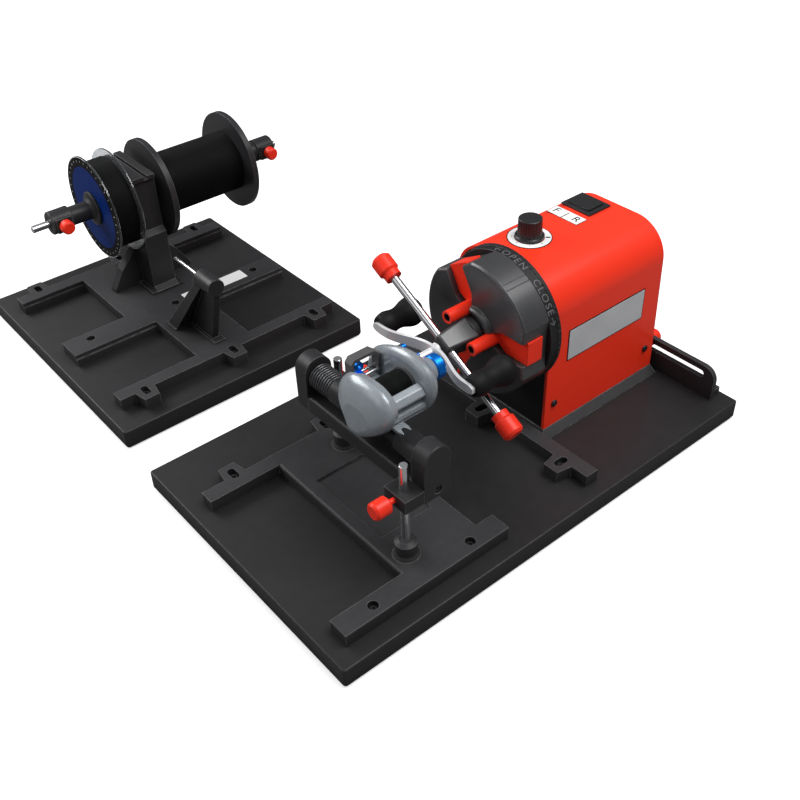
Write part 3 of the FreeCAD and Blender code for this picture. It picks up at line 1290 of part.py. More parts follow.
turned(chuck, [("ridge_in", "lobe_front + 1"), ("ridge_in", "ridge_front + 1"),
               ("ridge_in + 1", "ridge_front"),
               ("ridge_out - 1.5", "ridge_front"), ("ridge_out", "ridge_front + 1.5"),
               ("ridge_out + 1", "lobe_front + 1")])
turned(chuck, [("0", "disc_back - 1"), ("chuck_hub_round", "disc_back - 1"),
               ("chuck_hub_round", "chuck_back"),
               ("spindle_round", "chuck_back"), ("spindle_round", "chuck_back + spindle_long"),
               ("0", "chuck_back + spindle_long")])
shape_in(chuck, "SubtractiveCylinder", "0", "0", "collar_front - 1", Radius="neck_spigot + 0.05",
         Height="spigot_long + 1")
slot_half = "(jaw_wide/2 + jaw_gap)"
slot_outline = [("-slot_neck_half", "collar_round + 0.2"), ("slot_neck_half", "collar_round + 0.2"),
                ("slot_neck_half", "slot_neck_end"), (slot_half, "slot_neck_end + jaw_shoulder"),
                (slot_half, "lobe_round + 2"), ("-" + slot_half, "lobe_round + 2"),
                ("-" + slot_half, "slot_neck_end + jaw_shoulder"), ("-slot_neck_half", "slot_neck_end")]
slot_cut = pocket(chuck, loop(sketch_on(chuck, "XY_Plane", "disc_front"), slot_outline),
                  "disc_front - ridge_front + 1")
polar(chuck, slot_cut, "jaw_count")
place(chuck, "0", "chuck_y", "chuck_z", *ALONG_X, spin="jaw_first")
keep(chuck, "chuck_body")

scroll = new_body("scroll_ring")
turned(scroll, [("chuck_hub_round + slide_fit", "ring_front"), ("ring_round - 0.6", "ring_front"),
                ("ring_round", "ring_front + 0.6"),
                ("ring_round", "ring_back - 4.5"), ("ring_round + ring_lip", "ring_back - 4"),
                ("ring_round + ring_lip", "ring_back - 0.6"),
                ("ring_round", "ring_back"), ("chuck_hub_round + slide_fit", "ring_back")])
place(scroll, "0", "chuck_y", "chuck_z", *ALONG_X)
keep(scroll, "scroll_ring")

for number in range(int(val("jaw_count"))):
    jaw = new_body("jaw")
    side = [("collar_round + 1.2", "-jaw_arm_half"), ("jaw_tube_at + 3", "-jaw_arm_half"),
            ("jaw_tube_at + 3 + jaw_shoulder", "-jaw_wide/2"), ("jaw_reach", "-jaw_wide/2"),
            ("jaw_reach", "jaw_wide/2"),
            ("jaw_tube_at + 3 + jaw_shoulder", "jaw_wide/2"), ("jaw_tube_at + 3", "jaw_arm_half"),
            ("collar_round + 1.2", "jaw_arm_half")]
    pad(jaw, loop(sketch_on(jaw, "YZ_Plane", "jaw_front"), side), "disc_front - jaw_front - jaw_gap")
    shape_in(jaw, "AdditiveCylinder", "jaw_tube_mouth", "jaw_tube_at", "0", (0, 1, 0), "90",
             Radius="jaw_tube_round",
             Height="jaw_front + 4 - jaw_tube_mouth")
    shape_in(jaw, "SubtractiveCylinder", "jaw_tube_mouth - 1", "jaw_tube_at", "0", (0, 1, 0), "90",
             Radius="jaw_tube_bore",
             Height="jaw_tube_deep + 1")
    turn = "jaw_first + 360/jaw_count*%d" % number
    place(jaw, "0", "chuck_y", "chuck_z", (1, 0, 0), turn)
    keep(jaw, "jaw_%d" % (number + 1))

# driver: tapered block held in the chuck's hub, with a cross bar that turns the reel handle
neck = new_body("driver_neck")
sections = []
for level, reach in (("neck_back", "neck_back_half"), ("neck_front", "neck_front_half")):
    square = [("-" + reach, "-" + reach), (reach, "-" + reach), (reach, reach), ("-" + reach, reach)]
    sections.append(loop(sketch_on(neck, "YZ_Plane", level), square))
taper = neck.newObject("PartDesign::AdditiveLoft", "Taper")
taper.Profile = sections[0]
taper.Sections = [sections[1]]
settle(neck, taper)
round_edges(neck, lambda e: not at(e, 0, val("neck_back")) and not at(e, 0, val("neck_front")),
            "neck_corner")
round_edges(neck, lambda e: at(e, 0, val("neck_front")), "neck_bevel", "Chamfer")
shape_in(neck, "AdditiveCylinder", "neck_back - 1", "0", "0", (0, 1, 0), "90", Radius="collar_round - 0.1",
         Height="collar_front - neck_back + 0.9")
shape_in(neck, "AdditiveCylinder", "collar_front - 0.5", "0", "0", (0, 1, 0), "90", Radius="neck_spigot",
         Height="17")
shape_in(neck, "SubtractiveCylinder", "driver_x", "-20", "0", (1, 0, 0), "-90",
         Radius="driver_round + post_fit", Height="40")
place(neck, "0", "chuck_y", "chuck_z", (1, 0, 0), "driver_tilt")
keep(neck, "driver_neck")

driver = new_body("driver_bar")
turned(driver, [("0", "-driver_half"), ("driver_round - 0.5", "-driver_half"),
                ("driver_round", "-driver_half + 0.5"),
                ("driver_round", "driver_half - 0.5"), ("driver_round - 0.5", "driver_half"),
                ("0", "driver_half")])
place(driver, "driver_x", "chuck_y", "chuck_z", (1, 0, 0), "driver_tilt - 90")
keep(driver, "driver_bar")
caps = []
for turn in ("driver_tilt - 90", "driver_tilt + 90"):
    tip = new_body("Tip")
    turned(tip, [("driver_round + post_fit", "driver_cap_start"), ("driver_cap_small", "driver_cap_start"),
                 ("driver_cap_small", "driver_cap_step - 1"), ("driver_cap_big", "driver_cap_step + 1"),
                 ("driver_cap_big", "driver_cap_end - 2.5"), ("driver_cap_big - 2.5", "driver_cap_end"),
                 ("0", "driver_cap_end"),
                 ("0", "driver_half + 0.1"), ("driver_round + post_fit", "driver_half + 0.1")])
    caps.append(place(tip, "driver_x", "chuck_y", "chuck_z", (1, 0, 0), turn))
keep(join("caps", "MultiFuse", caps), "driver_caps")

dial = new_body("speed_knob")
turned(dial, [("0", "-8"), ("dial_shaft", "-8"), ("dial_shaft", "dial_gap"),
              ("dial_foot_round", "dial_gap"),
              ("dial_foot_round", "dial_foot_tall - 1"), ("dial_foot_round - 1", "dial_foot_tall"),
              ("dial_top_round + 0.4", "dial_foot_tall"), ("dial_top_round", "dial_tall"),
              ("dial_top_round - 0.8", "dial_tall + 0.6"), ("0", "dial_tall + 0.6")])
flute = shape_in(dial, "SubtractiveCylinder", "dial_top_round + dial_flute*0.75", "0", "dial_foot_tall + 1",
                 Radius="dial_flute",
                 Height="dial_tall")
polar(dial, flute, "dial_flutes")
place(dial, "dial_x", "dial_y", "head_top")
keep(dial, "speed_knob")

bezel = new_body("switch_bezel")
box_in(bezel, "AdditiveBox", "-switch_wide/2", "-switch_long/2", "0.05", "switch_wide/2", "switch_long/2",
       "switch_lip")
round_edges(bezel, lambda e: at(e, 2, val("switch_lip")), "0.8")
box_in(bezel, "AdditiveBox", "-switch_wide/2 + 2", "-switch_long/2 + 2", "-switch_deep",
       "switch_wide/2 - 2",
       "switch_long/2 - 2", "1")
box_in(bezel, "SubtractiveBox", "-switch_wide/2 + switch_rim", "-switch_long/2 + switch_rim",
       "-switch_deep + 2",
       "switch_wide/2 - switch_rim", "switch_long/2 - switch_rim", "switch_lip + 1")
shape_in(bezel, "SubtractiveCylinder", "-(switch_wide/2 - switch_rim + rocker_pin_bite + 0.2)", "0",
         "-rocker_pivot_drop", (0, 1, 0), "90",
         Radius="rocker_pin + slide_fit", Height="switch_wide - 2*switch_rim + 2*rocker_pin_bite + 0.4")
place(bezel, "switch_x", "switch_y", "head_top")
keep(bezel, "switch_bezel")
rocker = new_body("rocker")
reach = "(switch_long/2 - switch_rim - rocker_gap)"
drop = "rocker_pivot_drop"
side = [("-" + reach, "2.5"), ("-%s + 4" % reach, "-8"), ("%s - 4" % reach, "-8"), (reach, "2.5"),
        (reach + " - 0.6", drop + " + 3.6"),
        ("0", drop + " + 3.6 - rocker_dip"), ("-%s + 0.6" % reach, drop + " + 3.6")]
pad(rocker, loop(sketch_on(rocker, "YZ_Plane", "-(switch_wide/2 - switch_rim - 0.3)"), side),
    "switch_wide - 2*switch_rim - 0.6")
shape_in(rocker, "AdditiveCylinder", "-(switch_wide/2 - switch_rim + rocker_pin_bite)", "0", "0", (0, 1, 0),
         "90",
         Radius="rocker_pin", Height="switch_wide - 2*switch_rim + 2*rocker_pin_bite")
place(rocker, "switch_x", "switch_y", "head_top - " + drop)
keep(rocker, "rocker")

thumbscrew("lock_knob", "lock_stud", "lock_knob", "lock_knob_long",
           "bracket_x + bracket_thick + 0.7 - head_back + 9", "0",
           "head_back - 9", "lock_y", "lock_z", (0, 1, 0), "90")
inlet = new_body("power_inlet")
turned(inlet, [("2.9", "0"), ("inlet_round", "0"), ("inlet_round", "10.2"), ("inlet_round + 1.6", "10.2"),
               ("inlet_round + 1.6", "12"), ("2.9", "12"), ("2.9", "3"), ("1", "3"), ("1", "10"),
               ("0", "10"), ("0", "1"), ("2.9", "1")])
place(inlet, "head_back - 11.2", "inlet_y", "inlet_z", *ALONG_X)
keep(inlet, "power_inlet")

# ---------------------------------------------------------------- spool station
frame = new_body("spool_frame")
left = "spool_frame_x - spool_frame_long/2"
right = "spool_frame_x + spool_frame_long/2"
rail(frame, left, right, "spool_near_y - spool_near_wide/2", "spool_near_y + spool_near_wide/2")
rail(frame, "guide_plate_left", "guide_plate_right", "spool_near_y + spool_near_wide/2 - 0.5",
     "spool_mid_y - spool_mid_wide/2 + 0.5")
rail(frame, left, right, "spool_mid_y - spool_mid_wide/2", "spool_mid_y + spool_mid_wide/2")
rail(frame, "stand_plate_left", "stand_plate_right", "spool_mid_y + spool_mid_wide/2 - 0.5",
     "spool_far_y - spool_far_wide/2 + 0.5")
rail(frame, left, right, "spool_far_y - spool_far_wide/2", "spool_far_y + spool_far_wide/2")
for edge in ("spool_mid_y - spool_mid_wide/2", "spool_far_y - spool_far_wide/2"):
    box_in(frame, "AdditiveBox", left, edge + " - rail_ledge", "board_thick", right, edge + " + 1",
           TOP + " - rail_ledge_drop")
for i in steps:
    lug(frame, "spool_frame_x + fix_pitch*%d" % i, "spool_near_y - spool_near_wide/2", -1)
    lug(frame, "spool_frame_x + fix_pitch*%d" % i, "spool_far_y + spool_far_wide/2", 1)
fixing_holes(frame, spool_fixings[1::3], spool_fixings[0::3] + spool_fixings[2::3], True)
keep(frame, "spool_frame")

stand = new_body("spool_stand")
profile = [("stand_near - 13", TOP), ("stand_near - 13", TOP + " + 3"), ("stand_near - 6", TOP + " + 7"),
           ("stand_near - 6", "stand_ledge - 5"), ("stand_near", "stand_ledge"),
           ("stand_near", "stand_top - stand_cap"),
           ("stand_near - stand_lip", "stand_top - stand_cap"), ("stand_near - stand_lip", "stand_top"),
           ("stand_far", "stand_top"), ("stand_far", "stand_top - 12"), ("stand_far - 8", "stand_top - 20"),
           ("stand_far - 8", "stand_ledge"), ("stand_far - 4", "stand_ledge - 5"),
           ("stand_far - 4", TOP + " + 7"),
           ("stand_far + 6", TOP + " + 3"), ("stand_far + 6", TOP)]
pad(stand, loop(sketch_on(stand, "YZ_Plane", "stand_x - stand_wide/2"), profile), "stand_wide")
for way in (-1, 1):
    root = "stand_x + (%d)*(stand_wide/2 - 1)" % way
    wing = [(root, TOP), ("stand_x + (%d)*stand_wing" % way, TOP),
            ("stand_x + (%d)*stand_wing" % way, TOP + " + 4"),
            ("stand_x + (%d)*37" % way, TOP + " + 25"),
            ("stand_x + (%d)*19" % way, TOP + " + stand_wing_tall"), (root, TOP + " + stand_wing_tall + 8")]
    pad(stand, loop(sketch_on(stand, "XZ_Plane", "-axle_y"), wing), "12.5")
box_in(stand, "AdditiveBox", "stand_x - stand_wide/2 - 6", "stand_near - 12", TOP,
       "stand_x + stand_wide/2 + 6",
       "stand_far + 5", TOP + " + 3")
box_in(stand, "SubtractiveBox", "stand_groove_x - stand_groove/2", "stand_near - stand_lip - 1",
       "stand_top - stand_groove",
       "stand_groove_x + stand_groove/2", "stand_far + 1", "stand_top + 1")
shape_in(stand, "AdditiveCylinder", "filler_right + run_gap", "axle_y", "axle_z", (0, 1, 0), "90",
         Radius="stand_boss",
         Height="bulk_left - filler_right - 2*run_gap")
shape_in(stand, "AdditiveCylinder", "filler_right - boss_bite", "axle_y", "axle_z", (0, 1, 0), "90",
         Radius="spool_bore - spool_fit", Height="bulk_left - filler_right + 2*boss_bite")
shape_in(stand, "SubtractiveCylinder", "filler_right - boss_bite - 1", "axle_y", "axle_z", (0, 1, 0), "90",
         Radius="axle_round + post_fit", Height="bulk_left - filler_right + 2*boss_bite + 2")
keep(stand, "spool_stand")

axle = new_body("spool_axle")
turned(axle, [("0", "axle_left"), ("axle_round - 0.7", "axle_left"), ("axle_round", "axle_left + 0.7"),
              ("axle_round", "axle_right - 0.7"),
              ("axle_round - 0.7", "axle_right"), ("0", "axle_right")])
place(axle, "0", "axle_y", "axle_z", *ALONG_X)
keep(axle, "spool_axle")


def supply_spool(name, left, right, radius, flange, hub):
    body = new_body(name)
    turned(body, [("spool_bore", left), (radius, left), (radius, "%s + %s" % (left, flange)),
                  (hub, "%s + %s" % (left, flange)),
                  (hub, "%s - %s" % (right, flange)), (radius, "%s - %s" % (right, flange)),
                  (radius, right), ("spool_bore", right)])
    place(body, "0", "axle_y", "axle_z", *ALONG_X)
    return keep(body, name)


def wound_line(name, left, right, flange, hub, radius):
    body = new_body(name)
    start = "%s + %s + 0.05" % (left, flange)
    end = "%s - %s - 0.05" % (right, flange)
    turned(body, [(hub + " + 0.02", start), (radius, start), (radius, end), (hub + " + 0.02", end)])
    place(body, "0", "axle_y", "axle_z", *ALONG_X)
    return keep(body, name)


supply_spool("filler_spool", "filler_left", "filler_right", "filler_round", "filler_flange", "filler_hub")
wound_line("filler_line", "filler_left", "filler_right", "filler_flange", "filler_hub", "filler_line_round")
supply_spool("bulk_spool", "bulk_left", "bulk_right", "bulk_round", "bulk_flange", "bulk_hub")
wound_line("bulk_line", "bulk_left", "bulk_right", "bulk_flange", "bulk_hub", "bulk_line_round")

for name, screw_name, face, way in (("axle_collar_left", "collar_screw_left", "filler_left", -1),
                                    ("axle_collar_right", "collar_screw_right", "bulk_right", 1)):
    collar = new_body(name)
    turned(collar, [("axle_round + slide_fit", "-boss_bite"), ("spool_bore - spool_fit", "-boss_bite"),
                    ("spool_bore - spool_fit", "run_gap"), ("collar_flange", "run_gap"),
                    ("collar_flange", "collar_flange_thick - 2"),
                    ("collar_neck + 2", "collar_flange_thick"), ("collar_neck", "collar_flange_thick + 2"),
                    ("collar_neck", "collar_long - collar_block_long"),
                    ("collar_block", "collar_long - collar_block_long"),
                    ("collar_block", "collar_long - 1"), ("collar_block - 1", "collar_long"),
                    ("axle_round + slide_fit", "collar_long")])
    box_in(collar, "AdditiveBox", "-collar_block*0.62", "-collar_block - 1.5",
           "collar_long - collar_block_long + 2",
           "collar_block*0.62", "-axle_round - 1.5", "collar_long - 3")
    at_z = "collar_long - collar_block_long/2"
    shape_in(collar, "SubtractiveCylinder", "0", "-collar_block - 3", at_z, (1, 0, 0), "-90",
             Radius="clamp_stud + hole_gap", Height="collar_block")
    place(collar, face, "axle_y", "axle_z", (0, 1, 0), "%d" % (90 * way))
    keep(collar, name)
    thumbscrew(screw_name, "clamp_stud", "collar_knob", "collar_knob_long",
               "collar_knob_off - axle_round - 0.1", "0",
               "%s + (%d)*(%s)" % (face, way, at_z), "axle_y - axle_round - 0.1", "axle_z", (1, 0, 0), "90")

guide = new_body("guide_bracket")
shape_in(guide, "AdditiveCylinder", "guide_x", "guide_boss_near", "guide_boss_z", (1, 0, 0), "-90",
         Radius="guide_boss_round",
         Height="guide_boss_far - guide_boss_near")
web = [("guide_boss_near + 2", "guide_boss_z"),
       ("guide_boss_near + 2", "guide_boss_z - guide_boss_round - 3"),
       ("guide_web_foot", TOP), ("guide_leg_near + 2", TOP),
       ("guide_boss_far - guide_neck_deep + 1", "guide_boss_z")]
pad(guide, loop(sketch_on(guide, "YZ_Plane", "guide_x - guide_web/2"), web), "guide_web")
sections = []
for level, half, near, far in ((TOP, "guide_leg_half", "guide_leg_near", "guide_leg_far"),
                               ("guide_boss_z - 2", "guide_neck_half", "guide_boss_far - guide_neck_deep",
                                "guide_boss_far")):
    ends = [("guide_x - " + half, near), ("guide_x + " + half, near), ("guide_x + " + half, far),
            ("guide_x - " + half, far)]
    sections.append(loop(sketch_on(guide, "XY_Plane", level), ends))
leg = guide.newObject("PartDesign::AdditiveLoft", "Leg")
leg.Profile = sections[0]
leg.Sections = [sections[1]]
settle(guide, leg)
for half, near in (("guide_foot_half", "guide_foot_near"),
                   ("(guide_leg_half + guide_rim)", "guide_leg_near - guide_rim")):
    box_in(guide, "AdditiveBox", "guide_x - " + half, near, TOP, "guide_x + " + half,
           "guide_leg_far + guide_rim",
           TOP + " + guide_foot_tall")
shape_in(guide, "SubtractiveCylinder", "guide_x", "guide_rod_start", "guide_boss_z", (1, 0, 0), "-90",
         Radius="guide_rod_round + post_fit", Height="40")
keep(guide, "guide_bracket")
keep(rod("guide_pin", "guide_rod_round", "guide_rod_end - guide_rod_start - 0.2", "guide_x",
         "guide_rod_start + 0.2", "guide_boss_z",
         *ALONG_Y), "guide_rod")

# ---------------------------------------------------------------- checks and files
doc.recompute()
for obj in doc.Objects:
    if "Invalid" in obj.State or "Error" in obj.State:
        raise RuntimeError("failed: %s %s" % (obj.Label, obj.State))
triangles = 0
names = set()
for obj in nodes:
    shape = obj.Shape
    if shape.isNull() or not shape.isValid() or not shape.Solids:
        raise RuntimeError("bad shape: " + obj.Label)
    names.add(obj.Label)
    triangles += len(shape.copy().tessellate(0.2)[1])
if len(names) != len(nodes):
    raise RuntimeError("two pieces share a name")
os.makedirs("parts", exist_ok=True)
for obj in nodes:
    obj.Shape.exportStep("parts/%s.step" % obj.Label)
print(len(nodes), "pieces,", triangles, "triangles")
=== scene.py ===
import math

import bmesh
import bpy
from mathutils import Matrix, Vector


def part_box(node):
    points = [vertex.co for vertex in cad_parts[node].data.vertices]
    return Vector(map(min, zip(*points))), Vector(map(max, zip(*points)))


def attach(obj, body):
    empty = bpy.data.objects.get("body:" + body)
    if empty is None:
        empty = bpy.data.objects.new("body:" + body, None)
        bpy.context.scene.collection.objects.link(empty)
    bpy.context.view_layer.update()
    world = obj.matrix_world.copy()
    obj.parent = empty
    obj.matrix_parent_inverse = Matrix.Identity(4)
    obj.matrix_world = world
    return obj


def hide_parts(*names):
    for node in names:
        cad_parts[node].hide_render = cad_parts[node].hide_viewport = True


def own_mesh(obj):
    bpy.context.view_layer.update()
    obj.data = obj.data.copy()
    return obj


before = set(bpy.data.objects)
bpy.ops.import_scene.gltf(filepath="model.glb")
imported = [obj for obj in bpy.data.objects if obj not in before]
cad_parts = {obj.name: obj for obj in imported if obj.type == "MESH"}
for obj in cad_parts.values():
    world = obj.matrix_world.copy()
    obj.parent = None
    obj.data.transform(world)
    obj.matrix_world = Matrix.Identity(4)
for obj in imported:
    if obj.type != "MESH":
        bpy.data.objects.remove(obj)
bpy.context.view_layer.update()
MM = 0.001
NOISE_ROUGHNESS = 0.55
CORNER_REACH = 22 * MM
GRAIN_DEPTH = 0.3 * MM
scene = bpy.context.scene
scene.view_settings.view_transform = "Standard"

# ------------------------------------------------------------------ shader groups


def new_group(name, inputs, outputs):
    """Shader node group with named sockets; returns the tree and its two end nodes."""
    tree = bpy.data.node_groups.new(name, "ShaderNodeTree")
    for label, kind, value in inputs:
        socket = tree.interface.new_socket(label, in_out="INPUT", socket_type=kind)
        socket.default_value = value
    for label, kind in outputs:
        tree.interface.new_socket(label, in_out="OUTPUT", socket_type=kind)
    return tree, tree.nodes.new("NodeGroupInput"), tree.nodes.new("NodeGroupOutput")


def math_node(tree, operation, a, b=None, clamp=False):
    """Math node of one or two numbers or sockets; returns its result socket."""
    node = tree.nodes.new("ShaderNodeMath")
    node.operation = operation
    node.use_clamp = clamp
    for socket, value in zip(node.inputs, (a, b)):
        if value is None:
            continue
        if isinstance(value, (int, float)):
            socket.default_value = value
        else:
            tree.links.new(value, socket)
    return node.outputs[0]


def map_range(tree, value, low, high, to_low=0.0, to_high=1.0):
    """Clamped straight-line map of a value socket from one range to another."""
    node = tree.nodes.new("ShaderNodeMapRange")
    tree.links.new(value, node.inputs["Value"])
    ends = (("From Min", low), ("From Max", high), ("To Min", to_low), ("To Max", to_high))
    for label, amount in ends:
        node.inputs[label].default_value = amount
    return node.outputs[0]


def noise(tree, vector, scale, detail):
    """Noise texture on a vector socket; the scale is a number or a socket."""
    node = tree.nodes.new("ShaderNodeTexNoise")
    tree.links.new(vector, node.inputs["Vector"])
    if isinstance(scale, (int, float)):
        node.inputs["Scale"].default_value = scale
    else:
        tree.links.new(scale, node.inputs["Scale"])
    node.inputs["Detail"].default_value = detail
    node.inputs["Roughness"].default_value = NOISE_ROUGHNESS
    return node.outputs["Fac"]


def mix_colour(tree, factor, a, b):
    """Colour mix of two colours or sockets by a factor."""
    node = tree.nodes.new("ShaderNodeMix")
    node.data_type = "RGBA"
    for socket, value in ((node.inputs[0], factor), (node.inputs[6], a), (node.inputs[7], b)):
        if isinstance(value, (int, float)):
            socket.default_value = value
        elif isinstance(value, tuple):
            socket.default_value = (*value[:3], 1.0)
        else:
            tree.links.new(value, socket)
    return node.outputs[2]


def build_moulded_group():
    """Fine sand-like mould texture with broad, soft patches of sheen."""
    tree, ins, outs = new_group(
        "MouldedSkin",
        (("Grain", "NodeSocketFloat", 1600.0), ("Patch", "NodeSocketFloat", 14.0)),
        (("Tone", "NodeSocketFloat"), ("Roughen", "NodeSocketFloat"), ("Height", "NodeSocketFloat")))
    place = tree.nodes.new("ShaderNodeTexCoord").outputs["Object"]
    fine = noise(tree, place, ins.outputs["Grain"], 2.0)
    broad = noise(tree, place, ins.outputs["Patch"], 4.0)
    streak = noise(tree, place, math_node(tree, "MULTIPLY", ins.outputs["Patch"], 9.0), 3.0)
    tree.links.new(map_range(tree, math_node(tree, "ADD", broad, streak), 0.7, 1.3), outs.inputs["Tone"])
    tree.links.new(map_range(tree, math_node(tree, "ADD", fine, broad), 0.7, 1.3), outs.inputs["Roughen"])
    tree.links.new(fine, outs.inputs["Height"])
    return tree


def build_edge_group():
    """Mask of the rounded rims, broken up by noise, for a painted highlight; the softened normal at them;
    and how open each corner is, for painted corner shade.
    """
    tree, ins, outs = new_group(
        "EdgeHighlightShade",
        (("Radius", "NodeSocketFloat", 0.0006), ("Breakup", "NodeSocketFloat", 120.0)),
        (("Mask", "NodeSocketFloat"), ("Normal", "NodeSocketVector"), ("Open", "NodeSocketFloat")))
    bevel = tree.nodes.new("ShaderNodeBevel")
    bevel.samples = 4
    tree.links.new(ins.outputs["Radius"], bevel.inputs["Radius"])
    flat = tree.nodes.new("ShaderNodeNewGeometry").outputs["Normal"]
    dot = tree.nodes.new("ShaderNodeVectorMath")
    dot.operation = "DOT_PRODUCT"
    tree.links.new(bevel.outputs[0], dot.inputs[0])
    tree.links.new(flat, dot.inputs[1])
    # rounded rims, where the bevelled normal turns from the flat one: they carry a painted highlight, broken
    # up by noise
    rim = map_range(tree, dot.outputs["Value"], 0.995, 0.86)
    place = tree.nodes.new("ShaderNodeTexCoord").outputs["Object"]
    speckle = map_range(tree, noise(tree, place, ins.outputs["Breakup"], 3.0), 0.35, 0.65)
    rim_highlight_mask = math_node(tree, "MULTIPLY", rim, math_node(tree, "ADD", speckle, 0.35), True)
    tree.links.new(rim_highlight_mask, outs.inputs["Mask"])
    tree.links.new(bevel.outputs[0], outs.inputs["Normal"])
    # ambient occlusion: how open each corner is, which sets the painted corner shade in the finishes
    corner = tree.nodes.new("ShaderNodeAmbientOcclusion")
    corner.samples = 6
    corner.inputs["Distance"].default_value = CORNER_REACH
    tree.links.new(map_range(tree, corner.outputs["AO"], 0.3, 0.95), outs.inputs["Open"])
    return tree


def build_brushed_group():
    """Fine lines along one direction, as left by grinding or turning."""
    tree, ins, outs = new_group(
        "GroundLines",
        (("Stretch", "NodeSocketVector", (40.0, 2500.0, 2500.0)),),
        (("Lines", "NodeSocketFloat"),))
    place = tree.nodes.new("ShaderNodeTexCoord").outputs["Object"]
    scale = tree.nodes.new("ShaderNodeVectorMath")
    scale.operation = "MULTIPLY"
    tree.links.new(place, scale.inputs[0])
    tree.links.new(ins.outputs["Stretch"], scale.inputs[1])
    tree.links.new(noise(tree, scale.outputs[0], 1.0, 2.0), outs.inputs["Lines"])
    return tree


moulded_skin = build_moulded_group()
edge_highlight_shade = build_edge_group()
ground_lines = build_brushed_group()


def finish(name, colour, rough, skin, rough_span, tone, bump, metallic=0.0, coat=0.0, rim=0.0006,
           rim_light=0.25, lines=None, sheen=0.0, clear=0.0, spec=0.32, crevice_shade=0.0):
    """Material from the shared groups; skin is the scale of its grain and of its patches, rim in metres; the
    rims can take a painted highlight and the corners a painted shade.
    """
    material = bpy.data.materials.new(name)
    material.use_nodes = True
    tree = material.node_tree
    shader = tree.nodes["Principled BSDF"]
    shader.inputs["Metallic"].default_value = metallic
    shader.inputs["Specular IOR Level"].default_value = 0.5 if metallic or clear else spec
    if coat:
        shader.inputs["Coat Weight"].default_value = coat
        shader.inputs["Coat Roughness"].default_value = 0.08
    if clear:
        shader.inputs["Transmission Weight"].default_value = clear
        shader.inputs["IOR"].default_value = 1.46
    if sheen:
        shader.inputs["Sheen Weight"].default_value = sheen
    body = tree.nodes.new("ShaderNodeGroup")
    body.node_tree = moulded_skin
    body.inputs["Grain"].default_value, body.inputs["Patch"].default_value = skin
    dark = tuple(c * (1.0 - tone) for c in colour)
    light = tuple(min(1.0, c * (1.0 + tone)) for c in colour)
    base = mix_colour(tree, body.outputs["Tone"], dark, light)
    smoothest = max(0.02, rough - rough_span)
    gloss = map_range(tree, body.outputs["Roughen"], 0.0, 1.0, smoothest, rough + rough_span)
    height = body.outputs["Height"]
    if lines:
        ground = tree.nodes.new("ShaderNodeGroup")
        ground.node_tree = ground_lines
        ground.inputs["Stretch"].default_value = lines
        cut = math_node(tree, "MULTIPLY", ground.outputs["Lines"], 2.0)
        height = math_node(tree, "ADD", height, cut)
        scatter = math_node(tree, "MULTIPLY", ground.outputs["Lines"], 0.12)
        gloss = math_node(tree, "ADD", gloss, scatter)
    lift = tree.nodes.new("ShaderNodeBump")
    lift.inputs["Strength"].default_value = bump
    lift.inputs["Distance"].default_value = GRAIN_DEPTH
    tree.links.new(height, lift.inputs["Height"])
    if rim:
        edge = tree.nodes.new("ShaderNodeGroup")
        edge.node_tree = edge_highlight_shade
        edge.inputs["Radius"].default_value = rim
        tree.links.new(edge.outputs["Normal"], lift.inputs["Normal"])
        # painted highlight: a paler copy of the colour, mixed in along the rims by rim_light
        rim_highlight_colour = tuple(min(1.0, c + (0.5 - c) * rim_light) for c in colour)
        # painted shade: a darker copy of the colour, mixed in where ambient occlusion finds corners closed
        # in
        corner_shade_colour = tuple(c * (1.0 - crevice_shade) for c in colour)
        base = mix_colour(tree, edge.outputs["Open"], corner_shade_colour, base)
        base = mix_colour(tree, math_node(tree, "MULTIPLY", edge.outputs["Mask"], 0.75), base, rim_highlight_colour)
        if crevice_shade:
            dull = map_range(tree, edge.outputs["Open"], 0.0, 1.0, 0.3, 0.0)
            gloss = math_node(tree, "ADD", gloss, dull, True)
    tree.links.new(base, shader.inputs["Base Color"])
    tree.links.new(gloss, shader.inputs["Roughness"])
    tree.links.new(lift.outputs["Normal"], shader.inputs["Normal"])
    return material


# finishes with a rim get a painted highlight along their rims and, where given, a painted shade in their
# corners
BLACK = (0.0185, 0.0182, 0.0192)
board_skin = finish(
    "board_moulding", BLACK, 0.44, skin=(900.0, 9.0), rough_span=0.07, tone=0.12, bump=0.10, rim=0.0011,
    rim_light=0.6, crevice_shade=0.65)
rail_skin = finish(
    "rail_moulding", (0.036, 0.0355, 0.0375), 0.48, skin=(1300.0, 16.0), rough_span=0.06, tone=0.12,
    bump=0.08, rim=0.0010, rim_light=0.5, crevice_shade=0.6)
stand_skin = finish(
    "stand_moulding", (0.024, 0.0236, 0.0252), 0.42, skin=(1300.0, 22.0), rough_span=0.07, tone=0.10,
    bump=0.06, rim=0.0012, rim_light=0.4, crevice_shade=0.5)
chuck_skin = finish(
    "chuck_moulding", (0.038, 0.038, 0.0405), 0.34, skin=(1100.0, 20.0), rough_span=0.06, tone=0.10,
    bump=0.05, rim=0.0010, rim_light=0.4, spec=0.9, crevice_shade=0.6)
plate_skin = finish(
    "front_plate_moulding", (0.012, 0.012, 0.013), 0.5, skin=(1300.0, 22.0), rough_span=0.06, tone=0.10,
    bump=0.05)
housing_paint = finish(
    "red_shell_paint", (1.0, 0.040, 0.013), 0.33, skin=(420.0, 10.0), rough_span=0.03, tone=0.02,
    bump=0.03, rim=0.0012, rim_light=0.1)
jaw_paint = finish(
    "red_jaw_moulding", (0.98, 0.034, 0.010), 0.4, skin=(900.0, 40.0), rough_span=0.06, tone=0.08,
    bump=0.05, rim=0.0006, rim_light=0.12)
